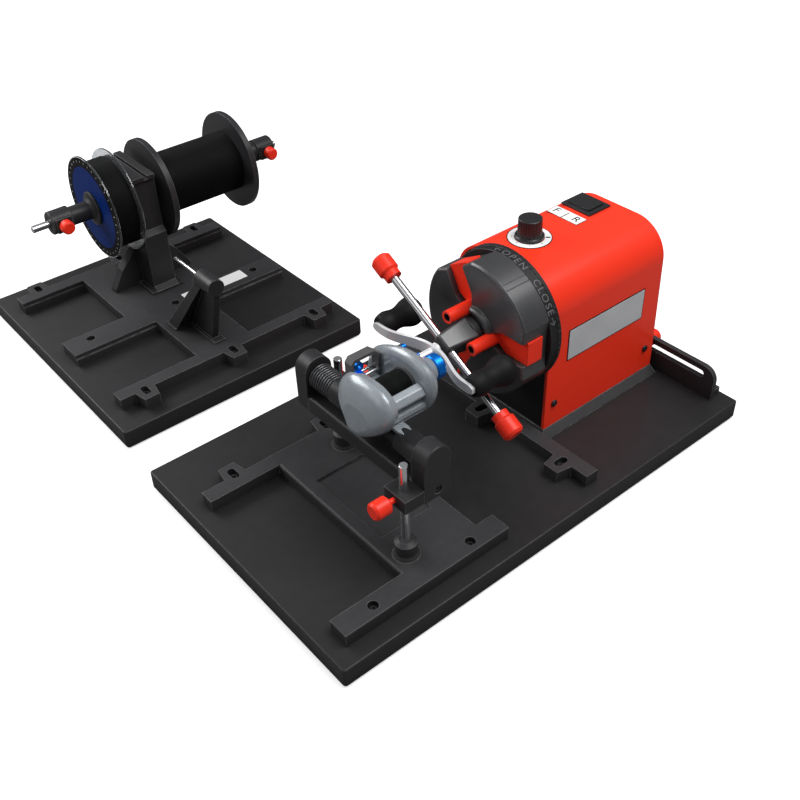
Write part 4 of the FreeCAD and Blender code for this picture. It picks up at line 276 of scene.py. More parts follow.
knob_red = finish(
    "red_knob_moulding", (1.0, 0.034, 0.012), 0.38, skin=(1100.0, 60.0), rough_span=0.06, tone=0.07,
    bump=0.06, rim=0.0006, rim_light=0.12)
grip_black = finish(
    "soft_grip", (0.0055, 0.0055, 0.006), 0.62, skin=(2200.0, 40.0), rough_span=0.07, tone=0.15,
    bump=0.10, rim=0.0006, rim_light=0.1, spec=0.22)
sleeve_black = finish(
    "soft_sleeve", (0.012, 0.012, 0.013), 0.5, skin=(2200.0, 60.0), rough_span=0.07, tone=0.15, bump=0.08,
    rim=0.0005, sheen=0.05)
switch_black = finish(
    "switch_moulding", (0.018, 0.018, 0.019), 0.28, skin=(1500.0, 50.0), rough_span=0.05, tone=0.08,
    bump=0.04, rim=0.0006, rim_light=0.15)
skirt_grey = finish(
    "skirt_moulding", (0.050, 0.050, 0.052), 0.46, skin=(1100.0, 16.0), rough_span=0.06, tone=0.10,
    bump=0.08, rim=0.0018, rim_light=0.5, crevice_shade=0.4)
bright_rod = finish(
    "bright_rod", (0.80, 0.80, 0.81), 0.16, skin=(60.0, 12.0), rough_span=0.03, tone=0.04, bump=0.004,
    metallic=1.0, rim=0.0)
bright_axle = finish(
    "bright_axle", (0.76, 0.76, 0.77), 0.2, skin=(60.0, 12.0), rough_span=0.03, tone=0.04, bump=0.004,
    metallic=1.0, rim=0.0)
plated_screw = finish(
    "plated_screw", (0.030, 0.030, 0.032), 0.35, skin=(1500.0, 90.0), rough_span=0.06, tone=0.1,
    bump=0.04, metallic=0.6, rim=0.0004)
spring_steel = finish(
    "dark_spring", (0.10, 0.10, 0.105), 0.32, skin=(1500.0, 60.0), rough_span=0.06, tone=0.1, bump=0.04,
    metallic=0.7, rim=0.0003)
reel_paint = finish(
    "reel_grey_paint", (0.325, 0.358, 0.385), 0.28, skin=(2400.0, 30.0), rough_span=0.05, tone=0.06,
    bump=0.03, metallic=0.25, coat=0.3, rim=0.0022, rim_light=0.1)
reel_dark = finish(
    "reel_dark_moulding", (0.085, 0.083, 0.085), 0.38, skin=(1800.0, 60.0), rough_span=0.06, tone=0.1,
    bump=0.04, rim=0.0006)
blue_anodised = finish(
    "blue_anodised", (0.0, 0.20, 0.80), 0.24, skin=(1800.0, 60.0), rough_span=0.05, tone=0.08, bump=0.02,
    metallic=0.75, rim=0.0005, rim_light=0.3, lines=(300.0, 2500.0, 2500.0))
arm_chrome = finish(
    "arm_bright", (0.86, 0.86, 0.87), 0.24, skin=(60.0, 20.0), rough_span=0.03, tone=0.03, bump=0.004,
    metallic=0.35, rim=0.0)
line_black = finish(
    "wound_line", (0.0032, 0.0034, 0.0033), 0.62, skin=(2500.0, 60.0), rough_span=0.08, tone=0.2,
    bump=0.06, rim=0.0, spec=0.12)
bulk_skin = finish(
    "bulk_spool_moulding", (0.026, 0.026, 0.028), 0.40, skin=(1300.0, 18.0), rough_span=0.07, tone=0.14,
    bump=0.05, rim=0.0010, rim_light=0.42)
paper_white = finish(
    "white_label", (0.93, 0.93, 0.92), 0.42, skin=(1500.0, 40.0), rough_span=0.05, tone=0.03, bump=0.02,
    rim=0.0003)
plate_silver = finish(
    "silver_label", (0.60, 0.60, 0.61), 0.4, skin=(1500.0, 40.0), rough_span=0.05, tone=0.06, bump=0.02,
    metallic=0.12, rim=0.0003, lines=(60.0, 2500.0, 2500.0))
clear_moulding = finish(
    "clear_spool_moulding", (0.44, 0.45, 0.46), 0.08, skin=(600.0, 40.0), rough_span=0.02, tone=0.02,
    bump=0.01, rim=0.0004, clear=0.92)
label_blue = finish(
    "blue_label", (0.002, 0.022, 0.150), 0.5, skin=(1500.0, 40.0), rough_span=0.05, tone=0.06, bump=0.02,
    rim=0.0, spec=0.08)
ink_black = finish(
    "label_ink", (0.006, 0.006, 0.0065), 0.55, skin=(1500.0, 40.0), rough_span=0.05, tone=0.05, bump=0.02,
    rim=0.0, spec=0.08)
raised_grey = finish(
    "raised_marks", (0.13, 0.13, 0.135), 0.42, skin=(1500.0, 40.0), rough_span=0.05, tone=0.05, bump=0.02,
    rim=0.0002)

FINISHES = (
    (board_skin, ("winding_board", "spool_board")),
    (rail_skin, ("reel_frame", "head_rail", "head_bracket", "spool_frame")),
    (stand_skin, ("spool_stand", "guide_bracket", "cradle_bar", "cradle_cheeks", "axle_collar_left",
        "axle_collar_right")),
    (bright_rod, ("reel_posts", "guide_rod", "driver_bar")),
    (bright_axle, ("spool_axle", "level_wind_bars")),
    (plated_screw, ("frame_screws", "cheek_screws", "housing_screws")),
    (sleeve_black, ("seat_tube", "fixed_hood", "sliding_hood")),
    (spring_steel, ("seat_spring",)),
    (reel_paint, ("reel_body", "palm_cover", "handle_cover", "thumb_bar")),
    (reel_dark, ("level_wind_arch", "reel_spool")),
    (blue_anodised, ("level_wind_eye", "drag_star", "cast_cap")),
    (line_black, ("reel_line", "filler_line", "bulk_line")),
    (arm_chrome, ("handle_arm",)),
    (grip_black, ("handle_knob_near", "handle_knob_far")),
    (knob_red, ("height_screw_near", "height_screw_far", "lock_knob", "collar_screw_left",
        "collar_screw_right", "driver_caps")),
    (skirt_grey, ("head_base",)),
    (housing_paint, ("housing_shell",)),
    (plate_skin, ("front_plate", "scroll_ring")),
    (switch_black, ("switch_bezel", "power_inlet", "speed_knob", "rocker")),
    (chuck_skin, ("chuck_body", "driver_neck")),
    (jaw_paint, ("jaw_1", "jaw_2", "jaw_3")),
    (clear_moulding, ("filler_spool",)),
    (bulk_skin, ("bulk_spool",)),
)
for material, node_names in FINISHES:
    for node_name in node_names:
        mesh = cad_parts[node_name].data
        mesh.materials.clear()
        mesh.materials.append(material)

# ------------------------------------------------------------------ grown detail (Geometry Nodes)


def geometry_group(name, inputs):
    """Geometry node group with named inputs, Material last; returns tree, its inputs node and its output."""
    tree = bpy.data.node_groups.new(name, "GeometryNodeTree")
    tree.interface.new_socket("Seats", in_out="INPUT", socket_type="NodeSocketGeometry")
    for label, kind, value in inputs:
        tree.interface.new_socket(label, in_out="INPUT", socket_type=kind).default_value = value
    tree.interface.new_socket("Material", in_out="INPUT", socket_type="NodeSocketMaterial")
    tree.interface.new_socket("Geometry", in_out="OUTPUT", socket_type="NodeSocketGeometry")
    return tree, tree.nodes.new("NodeGroupInput"), tree.nodes.new("NodeGroupOutput")


def close_group(tree, ins, outs, geometry):
    """Realize the instances and give them the material, as the last two steps."""
    real = tree.nodes.new("GeometryNodeRealizeInstances")
    paint = tree.nodes.new("GeometryNodeSetMaterial")
    tree.links.new(geometry, real.inputs[0])
    tree.links.new(real.outputs[0], paint.inputs["Geometry"])
    tree.links.new(ins.outputs["Material"], paint.inputs["Material"])
    tree.links.new(paint.outputs[0], outs.inputs[0])


def spread_angle(tree, count, sweep, start):
    """Angle in radians of each copy, evenly over the sweep."""
    index = tree.nodes.new("GeometryNodeInputIndex").outputs[0]
    step = math_node(tree, "DIVIDE", sweep, count)
    return math_node(tree, "ADD", math_node(tree, "MULTIPLY", index, step), start)


def build_ring_of_bars():
    """Small square bars round a circle about Z, each with its X side along the radius."""
    tree, ins, outs = geometry_group("RingOfBars", (
        ("Count", "NodeSocketInt", 60), ("Radius", "NodeSocketFloat", 0.06),
        ("Sweep", "NodeSocketFloat", 2 * math.pi), ("Start", "NodeSocketFloat", 0.0),
        ("Bar", "NodeSocketVector", (0.002, 0.001, 0.0006))))
    points = tree.nodes.new("GeometryNodePoints")
    tree.links.new(ins.outputs["Count"], points.inputs["Count"])
    angle = spread_angle(tree, ins.outputs["Count"], ins.outputs["Sweep"], ins.outputs["Start"])
    spot = tree.nodes.new("ShaderNodeCombineXYZ")
    for axis, wave in enumerate(("COSINE", "SINE")):
        reach = math_node(tree, "MULTIPLY", math_node(tree, wave, angle), ins.outputs["Radius"])
        tree.links.new(reach, spot.inputs[axis])
    tree.links.new(spot.outputs[0], points.inputs["Position"])
    bar = tree.nodes.new("GeometryNodeMeshCube")
    tree.links.new(ins.outputs["Bar"], bar.inputs["Size"])
    facing = tree.nodes.new("ShaderNodeCombineXYZ")
    tree.links.new(angle, facing.inputs[2])
    turn_node = tree.nodes.new("FunctionNodeEulerToRotation")
    tree.links.new(facing.outputs[0], turn_node.inputs[0])
    copies = tree.nodes.new("GeometryNodeInstanceOnPoints")
    tree.links.new(points.outputs[0], copies.inputs["Points"])
    tree.links.new(bar.outputs["Mesh"], copies.inputs["Instance"])
    tree.links.new(turn_node.outputs[0], copies.inputs["Rotation"])
    close_group(tree, ins, outs, copies.outputs[0])
    return tree


def build_wound_turns():
    """Turns of line side by side along X, crowned in the middle by the swell."""
    tree, ins, outs = geometry_group("WoundTurns", (
        ("Turns", "NodeSocketInt", 60), ("Length", "NodeSocketFloat", 0.1),
        ("Radius", "NodeSocketFloat", 0.035), ("Swell", "NodeSocketFloat", 0.0),
        ("Line", "NodeSocketFloat", 0.0004), ("Sides", "NodeSocketInt", 64)))
    points = tree.nodes.new("GeometryNodePoints")
    tree.links.new(ins.outputs["Turns"], points.inputs["Count"])
    index = tree.nodes.new("GeometryNodeInputIndex").outputs[0]
    share = math_node(tree, "DIVIDE", math_node(tree, "ADD", index, 0.5), ins.outputs["Turns"])
    spot = tree.nodes.new("ShaderNodeCombineXYZ")
    tree.links.new(math_node(tree, "MULTIPLY", share, ins.outputs["Length"]), spot.inputs[0])
    tree.links.new(spot.outputs[0], points.inputs["Position"])
    loop_curve = tree.nodes.new("GeometryNodeCurvePrimitiveCircle")
    loop_curve.inputs["Radius"].default_value = 1.0
    tree.links.new(ins.outputs["Sides"], loop_curve.inputs["Resolution"])
    upright = tree.nodes.new("GeometryNodeTransform")
    tree.links.new(loop_curve.outputs[0], upright.inputs["Geometry"])
    upright.inputs["Rotation"].default_value = (0.0, math.pi / 2, 0.0)
    size = tree.nodes.new("GeometryNodeTransform")
    tree.links.new(upright.outputs[0], size.inputs["Geometry"])
    scale = tree.nodes.new("ShaderNodeCombineXYZ")
    for axis in range(3):
        tree.links.new(ins.outputs["Radius"], scale.inputs[axis])
    tree.links.new(scale.outputs[0], size.inputs["Scale"])
    strand = tree.nodes.new("GeometryNodeCurvePrimitiveCircle")
    strand.inputs["Resolution"].default_value = 5
    tree.links.new(ins.outputs["Line"], strand.inputs["Radius"])
    tube = tree.nodes.new("GeometryNodeCurveToMesh")
    tree.links.new(size.outputs[0], tube.inputs["Curve"])
    tree.links.new(strand.outputs[0], tube.inputs["Profile Curve"])
    copies = tree.nodes.new("GeometryNodeInstanceOnPoints")
    tree.links.new(points.outputs[0], copies.inputs["Points"])
    tree.links.new(tube.outputs[0], copies.inputs["Instance"])
    off_middle = math_node(tree, "SUBTRACT", math_node(tree, "MULTIPLY", share, 2.0), 1.0)
    crown = math_node(tree, "SUBTRACT", 1.0, math_node(tree, "MULTIPLY", off_middle, off_middle))
    grow = math_node(tree, "ADD", 1.0, math_node(tree, "MULTIPLY", crown, ins.outputs["Swell"]))
    stretch = tree.nodes.new("ShaderNodeCombineXYZ")
    stretch.inputs[0].default_value = 1.0
    tree.links.new(grow, stretch.inputs[1])
    tree.links.new(grow, stretch.inputs[2])
    tree.links.new(stretch.outputs[0], copies.inputs["Scale"])
    close_group(tree, ins, outs, copies.outputs[0])
    return tree


def build_socket_set():
    """Hexagon key sockets, one at each given point of the mesh it grows on."""
    tree, ins, outs = geometry_group("KeySockets", (
        ("Across", "NodeSocketFloat", 0.0012), ("Outer", "NodeSocketFloat", 0.0018),
        ("Deep", "NodeSocketFloat", 0.001)))
    outer = tree.nodes.new("GeometryNodeMeshCylinder")
    outer.inputs["Vertices"].default_value = 18
    tree.links.new(ins.outputs["Outer"], outer.inputs["Radius"])
    tree.links.new(ins.outputs["Deep"], outer.inputs["Depth"])
    inner = tree.nodes.new("GeometryNodeMeshCylinder")
    inner.inputs["Vertices"].default_value = 6
    tree.links.new(ins.outputs["Across"], inner.inputs["Radius"])
    tree.links.new(math_node(tree, "MULTIPLY", ins.outputs["Deep"], 1.4), inner.inputs["Depth"])
    cut = tree.nodes.new("GeometryNodeMeshBoolean")
    cut.operation = "DIFFERENCE"
    tree.links.new(outer.outputs["Mesh"], cut.inputs[0])
    tree.links.new(inner.outputs["Mesh"], cut.inputs[1])
    copies = tree.nodes.new("GeometryNodeInstanceOnPoints")
    tree.links.new(ins.outputs["Seats"], copies.inputs["Points"])
    tree.links.new(cut.outputs[0], copies.inputs["Instance"])
    close_group(tree, ins, outs, copies.outputs[0])
    return tree


def build_coil_spring():
    """Coil spring of round wire along Z."""
    tree, ins, outs = geometry_group("CoilSpring", (
        ("Length", "NodeSocketFloat", 0.03), ("Radius", "NodeSocketFloat", 0.0115),
        ("Wire", "NodeSocketFloat", 0.001), ("Turns", "NodeSocketFloat", 9.0)))
    spiral = tree.nodes.new("GeometryNodeCurveSpiral")
    spiral.inputs["Resolution"].default_value = 40
    sources = (("Start Radius", "Radius"), ("End Radius", "Radius"),
               ("Height", "Length"), ("Rotations", "Turns"))
    for label, source in sources:
        tree.links.new(ins.outputs[source], spiral.inputs[label])
    wire_ring = tree.nodes.new("GeometryNodeCurvePrimitiveCircle")
    wire_ring.inputs["Resolution"].default_value = 12
    tree.links.new(ins.outputs["Wire"], wire_ring.inputs["Radius"])
    tube = tree.nodes.new("GeometryNodeCurveToMesh")
    tube.inputs["Fill Caps"].default_value = True
    tree.links.new(spiral.outputs[0], tube.inputs["Curve"])
    tree.links.new(wire_ring.outputs[0], tube.inputs["Profile Curve"])
    close_group(tree, ins, outs, tube.outputs[0])
    return tree


ring_of_bars = build_ring_of_bars()
coil_spring = build_coil_spring()
wound_turns = build_wound_turns()
key_sockets = build_socket_set()

# places in millimetres that the pieces below share
CHUCK_Y, CHUCK_Z = -9, 144
AXLE_Y, AXLE_Z = 450, 141.5
REEL_AXIS_Y, REEL_AXIS_Z = -41, 158
SEAT_X, SEAT_Z = -117.2, 131
DIAL_X, DIAL_Y = 108.7, 13
SHELL_TOP, SHELL_SIDE = 195, -61
FLANGE_FACE = -130

FACE_PLUS_X = Matrix.Rotation(math.pi / 2, 4, "Y")
FACE_MINUS_X = Matrix.Rotation(-math.pi / 2, 4, "Y")
FACE_MINUS_Y = Matrix.Rotation(math.pi / 2, 4, "X")
FACE_PLUS_Y = Matrix.Rotation(-math.pi / 2, 4, "X")


def settle(name, mesh, body):
    """Link a mesh as a piece that rides on a body."""
    piece = bpy.data.objects.new(name, mesh)
    scene.collection.objects.link(piece)
    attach(piece, body)
    return piece


def plain_mesh(host):
    """Mesh of a curve or of an object with modifiers; the host is then removed."""
    scene.collection.objects.link(host)
    mesh = bpy.data.meshes.new_from_object(host.evaluated_get(bpy.context.evaluated_depsgraph_get()))
    bpy.data.objects.remove(host)
    return mesh


def grown(name, tree, values, place, body, points=()):
    """Piece grown by a geometry group, turned into a plain mesh at its place."""
    seed = bpy.data.meshes.new(name + "_seed")
    seed.from_pydata(list(points), [], [])
    host = bpy.data.objects.new(name + "_host", seed)
    modifier = host.modifiers.new("grow", "NODES")
    modifier.node_group = tree
    for item in tree.interface.items_tree:
        if item.item_type == "SOCKET" and item.in_out == "INPUT" and item.name in values:
            modifier[item.identifier] = values[item.name]
    mesh = plain_mesh(host)
    mesh.transform(place)
    mesh.name = name
    return settle(name, mesh, body)


def mm(*place):
    """Shift by a place in millimetres."""
    return Matrix.Translation(Vector(place) * MM)


def wound(name, x_low, x_high, axis, radius, line, turns, body, swell=0.0, sides=64):
    """Turns of line on a spool whose axis runs along X at the given (y, z), in millimetres."""
    values = {"Turns": turns, "Length": (x_high - x_low) * MM, "Radius": (radius - line * 0.55) * MM,
              "Swell": swell, "Line": line * MM, "Sides": sides, "Material": line_black}
    grown(name, wound_turns, values, mm(x_low, *axis), body)


wound("reel_turns", -118.2, -92.4, (REEL_AXIS_Y, REEL_AXIS_Z), 13.2, 0.34, 38, "reel_drum",
      swell=0.045, sides=48)
wound("filler_turns", -127.8, -101.2, (AXLE_Y, AXLE_Z), 50.0, 0.42, 32, "filler", sides=72)
wound("bulk_turns", -54.2, 45.2, (AXLE_Y, AXLE_Z), 35.0, 0.42, 118, "bulk", sides=56)

tooth = (0.9 * MM, 1.9 * MM, 3.4 * MM)
grown("ring_teeth", ring_of_bars,
      {"Count": 72, "Radius": 66.45 * MM, "Bar": tooth, "Material": plate_skin},
      mm(60.4, CHUCK_Y, CHUCK_Z) @ FACE_PLUS_X, "scroll")

# the middle of the coil's wire starts and stops coil_end inside the solid spring
coil_low, coil_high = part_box("seat_spring")
coil_long = coil_high[1] - coil_low[1]
coil_end = 1.1
coil = grown("seat_coil", coil_spring,
             {"Length": coil_long - 2 * coil_end * MM, "Radius": 11.5 * MM, "Wire": 1.05 * MM, "Turns": 9.0,
              "Material": spring_steel},
             mm(SEAT_X, coil_low[1] / MM + coil_end, SEAT_Z) @ FACE_PLUS_Y, "cradle")
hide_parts("seat_spring")
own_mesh(coil)


# ------------------------------------------------------------------ labels and printed marks


def slab(name, outline, place, thick, material, body, edge=0.0):
    """Thin plate with the outline's shape in millimetres, lying on the place's XY plane."""
    shape = bmesh.new()
    low_ring = [shape.verts.new((x * MM, y * MM, 0.0)) for x, y in outline]
    base_face = shape.faces.new(low_ring)
    lifted = bmesh.ops.extrude_face_region(shape, geom=[base_face])
    for vert in lifted["geom"]:
        if isinstance(vert, bmesh.types.BMVert):
            vert.co.z += thick * MM
    if edge:
        rims = [e for e in shape.edges if all(v.co.z > thick * MM * 0.5 for v in e.verts)]
        bmesh.ops.bevel(shape, geom=rims, offset=edge * MM, segments=2, affect="EDGES")
    bmesh.ops.recalc_face_normals(shape, faces=shape.faces)
    mesh = bpy.data.meshes.new(name)
    shape.to_mesh(mesh)
    shape.free()
    mesh.transform(place)
    mesh.materials.append(material)
    settle(name, mesh, body)


def box_outline(x0, y0, x1, y1, corner, steps=4):
    """Rectangle in millimetres, its corners rounded by the given radius."""
    points = []
    for cx, cy, start in ((x1 - corner, y0 + corner, -90), (x1 - corner, y1 - corner, 0),
                          (x0 + corner, y1 - corner, 90), (x0 + corner, y0 + corner, 180)):
        for step in range(steps + 1):
            angle = math.radians(start + 90 * step / steps)
            points.append((cx + corner * math.cos(angle), cy + corner * math.sin(angle)))
    return points


def washer(name, bands, place, body, steps=96):
    """Flat rings about the place's Z: bands of (inner, outer, low, high, material) in millimetres."""
    shape = bmesh.new()
    for index, (inner, outer, z_low, z_high, _) in enumerate(bands):
        rows = []
        for radius, level in ((inner, z_low), (outer, z_low), (outer, z_high), (inner, z_high)):
            row = []
            for step in range(steps):
                angle = 2 * math.pi * step / steps
                spot = (radius * math.cos(angle) * MM, radius * math.sin(angle) * MM, level * MM)
                row.append(shape.verts.new(spot))
            rows.append(row)
        for first, second in zip(rows, rows[1:] + rows[:1]):
            for step in range(steps):
                after = (step + 1) % steps
                face = shape.faces.new((first[step], first[after], second[after], second[step]))
                face.material_index = index
    bmesh.ops.recalc_face_normals(shape, faces=shape.faces)
    mesh = bpy.data.meshes.new(name)
    shape.to_mesh(mesh)
    shape.free()
    for band in bands:
        mesh.materials.append(band[-1])
    mesh.transform(place)
    settle(name, mesh, body)


FONT_SIZE_PER_CAPITAL = 1.38


def lettering(name, text, height, thick, place, material, body, wrap=None, start=0.0, spacing=1.0):
    """Raised letters on the place's XY plane; wrap bends them round a cylinder of that radius about X."""
    curve = bpy.data.curves.new(name, "FONT")
    curve.body = text
    curve.size = height * MM * FONT_SIZE_PER_CAPITAL
    curve.align_x = "CENTER" if wrap is None else "LEFT"
    curve.align_y = "CENTER"
    curve.extrude = thick * MM * 0.5
    curve.resolution_u = 4
    curve.space_character = spacing
    mesh = plain_mesh(bpy.data.objects.new(name + "_host", curve))
    if wrap is not None:
        shape = bmesh.new()
        shape.from_mesh(mesh)
        long_edges = [e for e in shape.edges if e.calc_length() > 1.5 * MM]
        bmesh.ops.subdivide_edges(shape, edges=long_edges, cuts=3)
        for vert in shape.verts:
            angle = start + vert.co.x / (wrap * MM)
            radius = wrap * MM + vert.co.z
            vert.co = Vector((vert.co.y, -radius * math.sin(angle), radius * math.cos(angle)))
        bmesh.ops.recalc_face_normals(shape, faces=shape.faces)
        shape.to_mesh(mesh)
        shape.free()
    mesh.transform(place)
    mesh.materials.clear()
    mesh.materials.append(material)
    settle(name, mesh, body)


# dial scale under the speed knob
dial_rings = ((14.4, 20.6, 0.0, 0.45, paper_white), (20.6, 21.3, 0.0, 0.5, ink_black))
marks_place = mm(DIAL_X, DIAL_Y, SHELL_TOP + 0.5)
washer("dial_scale", dial_rings, mm(DIAL_X, DIAL_Y, SHELL_TOP), "motor_head")
grown("dial_marks", ring_of_bars,
      {"Count": 7, "Radius": 16.6 * MM, "Sweep": math.radians(315), "Start": math.radians(-1),
       "Bar": (1.0 * MM, 1.0 * MM, 0.12 * MM), "Material": ink_black}, marks_place, "motor_head")
grown("dial_zero", ring_of_bars,
      {"Count": 1, "Radius": 17.2 * MM, "Start": math.radians(-46),
       "Bar": (4.2 * MM, 2.0 * MM, 0.12 * MM), "Material": ink_black}, marks_place, "motor_head")

# direction label beside the rocker: forward and reverse
label_place = mm(164.75, 18.3, SHELL_TOP) @ Matrix.Rotation(-math.pi / 2, 4, "Z")
slab("direction_label_edge", box_outline(-19.5, -7.6, 19.5, 7.6, 0.8), label_place, 0.25, ink_black,
     "motor_head")
slab("direction_label", box_outline(-19.1, -7.2, 19.1, 7.2, 0.6), mm(0, 0, 0.25) @ label_place, 0.15,
     paper_white, "motor_head", 0.05)
lettering("direction_letters", "F  |  R", 9.6, 0.12, mm(0, 0, 0.44) @ label_place, ink_black, "motor_head")

# bare name plate on the shell's side
side_place = mm(142.75, SHELL_SIDE, 119) @ FACE_MINUS_Y
slab("side_plate_edge", box_outline(-53.6, -17.4, 53.6, 17.4, 0.8), side_place, 0.35, ink_black,
     "motor_head")
slab("side_plate", box_outline(-52.6, -16.4, 52.6, 16.4, 0.6), mm(0, -0.35, 0) @ side_place, 0.2,
     plate_silver, "motor_head", 0.06)

# open and close marks on the scroll ring
for word, text, angle in (("open", "\u2190OPEN", -12.0), ("close", "CLOSE\u2192", 34.0)):
    lettering("ring_" + word, text, 7.4, 0.4, mm(54.5, CHUCK_Y, CHUCK_Z), raised_grey, "scroll",
              wrap=65.85, start=math.radians(angle), spacing=1.22)

# bare label strip along the spool frame's middle rail
slab("frame_strip", box_outline(-77.3, 365.6, 3.4, 384.0, 0.6), mm(0, 0, 35.5), 0.2, paper_white, "base",
     0.05)

# dark rings and discs in the mouths of the jaw tubes: painted shade in the bores
TUBE_OFF_AXIS = 21.2
for letter, angle in (("a", 60), ("b", 180), ("c", 300)):
    bore_shade_y = CHUCK_Y + TUBE_OFF_AXIS * math.cos(math.radians(angle))
    bore_shade_z = CHUCK_Z + TUBE_OFF_AXIS * math.sin(math.radians(angle))
    bore_shade_rings = ((2.9, 3.95, 0.0, 18.0, grip_black), (0.05, 2.9, 7.0, 18.0, grip_black))
    washer("jaw_bore_shade_" + letter, bore_shade_rings, mm(-4.6, bore_shade_y, bore_shade_z) @ FACE_PLUS_X, "jaw_" + letter,
           steps=32)

# hexagon sockets in the side screws of the shell and in the cheek screws
screws_low, screws_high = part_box("housing_screws")
cheeks_low, cheeks_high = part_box("cheek_screws")
shell_pair = ((0, 0, 0), (0.133, 0, 0))
cheek_single = ((0, 0, 0),)
for name, body, x, y, z, outer, seats in (
        ("shell_sockets_near", "motor_head", 76, screws_low[1] / MM + 0.75, 58.3, 1.28, shell_pair),
        ("shell_sockets_far", "motor_head", 76, screws_high[1] / MM - 0.75, 58.3, 1.28, shell_pair),
        ("cheek_socket_near", "cradle", SEAT_X, cheeks_low[1] / MM + 1.0, 104.5, 1.78, cheek_single),
        ("cheek_socket_far", "cradle", SEAT_X, cheeks_high[1] / MM - 1.0, 104.5, 1.78, cheek_single)):
    sizes = {"Outer": outer * MM, "Across": outer * 0.72 * MM, "Deep": 1.2 * MM, "Material": plated_screw}
    grown(name, key_sockets, sizes, mm(x, y, z) @ FACE_MINUS_Y, body, points=seats)

# flange label of the filler spool: bare rings with a plain scale of ticks
flange_rings = ((19.4, 47.0, 0.0, 0.12, label_blue), (47.0, 57.4, 0.0, 0.12, ink_black))
washer("flange_label", flange_rings, mm(FLANGE_FACE, AXLE_Y, AXLE_Z) @ FACE_MINUS_X, "filler")
grown("flange_ticks", ring_of_bars,
      {"Count": 36, "Radius": 53.0 * MM, "Bar": (2.2 * MM, 0.6 * MM, 0.1 * MM), "Material": paper_white},
      mm(FLANGE_FACE - 0.15, AXLE_Y, AXLE_Z) @ FACE_MINUS_X, "filler")

# ------------------------------------------------------------------ studio

camera_data = bpy.data.cameras.new("Camera")
camera = bpy.data.objects.new("Camera", camera_data)
scene.collection.objects.link(camera)
camera_data.sensor_width = 36.0
camera_data.lens = 45.8866
camera_data.clip_start = 0.01
right = Vector((0.7672067, -0.64075209, -0.02882065))
up = Vector((0.41842826, 0.46593934, 0.77962705))
back = Vector((-0.48611899, -0.61019447, 0.62558056))
turn = Matrix((right, up, back)).transposed().to_4x4()
camera.matrix_world = Matrix.Translation(Vector((-0.50994645, -0.56085680, 0.67522152))) @ turn
scene.camera = camera

world = bpy.data.worlds.new("World")
scene.world = world
world.use_nodes = True
sky = world.node_tree
sky.nodes.clear()
path = sky.nodes.new("ShaderNodeLightPath")
seen = math_node(sky, "MAXIMUM", path.outputs["Is Camera Ray"], path.outputs["Is Transmission Ray"])
shown = sky.nodes.new("ShaderNodeBackground")
shown.inputs["Color"].default_value = (1.0, 1.0, 1.0, 1.0)
shown.inputs["Strength"].default_value = 1.0
soft = sky.nodes.new("ShaderNodeBackground")
soft.inputs["Color"].default_value = (0.86, 0.88, 0.92, 1.0)
rise = sky.nodes.new("ShaderNodeSeparateXYZ")
sky.links.new(sky.nodes.new("ShaderNodeTexCoord").outputs["Generated"], rise.inputs[0])
# glossy rays see a dark horizon that rises to a paler top, diffuse rays one even level
mirrored = map_range(sky, rise.outputs[2], 0.05, 0.95, 0.06, 0.42)
for_gloss = math_node(sky, "MULTIPLY", mirrored, path.outputs["Is Glossy Ray"])
for_diffuse = math_node(sky, "MULTIPLY", 0.34, path.outputs["Is Diffuse Ray"])
sky.links.new(math_node(sky, "ADD", for_gloss, for_diffuse), soft.inputs["Strength"])
blend = sky.nodes.new("ShaderNodeMixShader")
sky.links.new(seen, blend.inputs[0])
sky.links.new(soft.outputs[0], blend.inputs[1])
sky.links.new(shown.outputs[0], blend.inputs[2])
sky.links.new(blend.outputs[0], sky.nodes.new("ShaderNodeOutputWorld").inputs["Surface"])


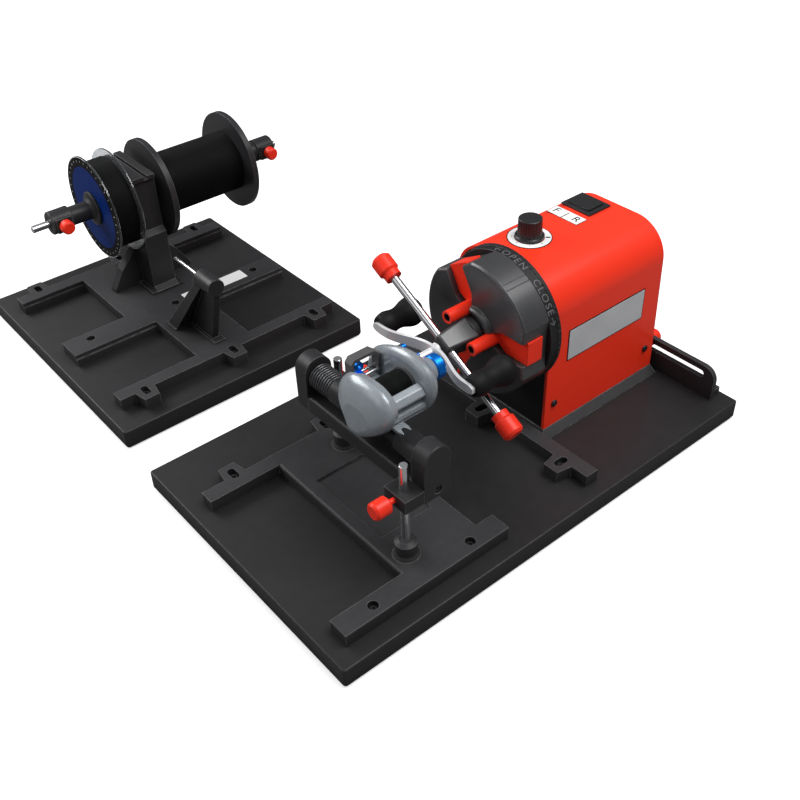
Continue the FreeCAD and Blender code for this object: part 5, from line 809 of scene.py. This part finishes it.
def softbox(name, place, aim, size, power):
    """Rectangular area lamp aimed at a point; metres and watts."""
    data = bpy.data.lights.new(name, "AREA")
    data.shape = "RECTANGLE"
    data.size, data.size_y = size
    data.energy = power
    lamp = bpy.data.objects.new(name, data)
    scene.collection.objects.link(lamp)
    lamp.location = place
    lamp.rotation_euler = (Vector(aim) - Vector(place)).to_track_quat("-Z", "Y").to_euler()


softbox("Key", (0.35, -0.55, 1.5), (0.0, 0.1, 0.05), (1.1, 0.9), 20.0)
softbox("Back", (-0.7, 1.5, 1.1), (-0.1, 0.1, 0.05), (1.2, 0.8), 20.0)
softbox("Side", (-1.4, 0.3, 0.9), (0.0, 0.1, 0.08), (1.2, 0.8), 2.0)

FLOOR_HALF = 6.0
FLOOR_LEVEL = -0.4 * MM
floor_mesh = bpy.data.meshes.new("floor")
corners = [(x * FLOOR_HALF, y * FLOOR_HALF, FLOOR_LEVEL) for x, y in ((-1, -1), (1, -1), (1, 1), (-1, 1))]
floor_mesh.from_pydata(corners, [], [(0, 1, 2, 3)])
floor = bpy.data.objects.new("floor", floor_mesh)
scene.collection.objects.link(floor)
floor_paint = bpy.data.materials.new("floor_paint")
floor_paint.use_nodes = True
tree = floor_paint.node_tree
matt = tree.nodes["Principled BSDF"]
matt.inputs["Roughness"].default_value = 0.9
matt.inputs["Specular IOR Level"].default_value = 0.0
path = tree.nodes.new("ShaderNodeLightPath")
glow = tree.nodes.new("ShaderNodeEmission")
add = tree.nodes.new("ShaderNodeAddShader")
# pale and glowing where it is seen directly, dark where it only bounces light
seen = math_node(tree, "MAXIMUM", path.outputs["Is Camera Ray"], path.outputs["Is Transmission Ray"])
paint = mix_colour(tree, seen, (0.22, 0.22, 0.22), (0.86, 0.86, 0.86))
tree.links.new(paint, matt.inputs["Base Color"])
tree.links.new(math_node(tree, "MULTIPLY", seen, 0.5), glow.inputs["Strength"])
tree.links.new(matt.outputs[0], add.inputs[0])
tree.links.new(glow.outputs[0], add.inputs[1])
tree.links.new(add.outputs[0], tree.nodes["Material Output"].inputs["Surface"])
floor_mesh.materials.append(floor_paint)
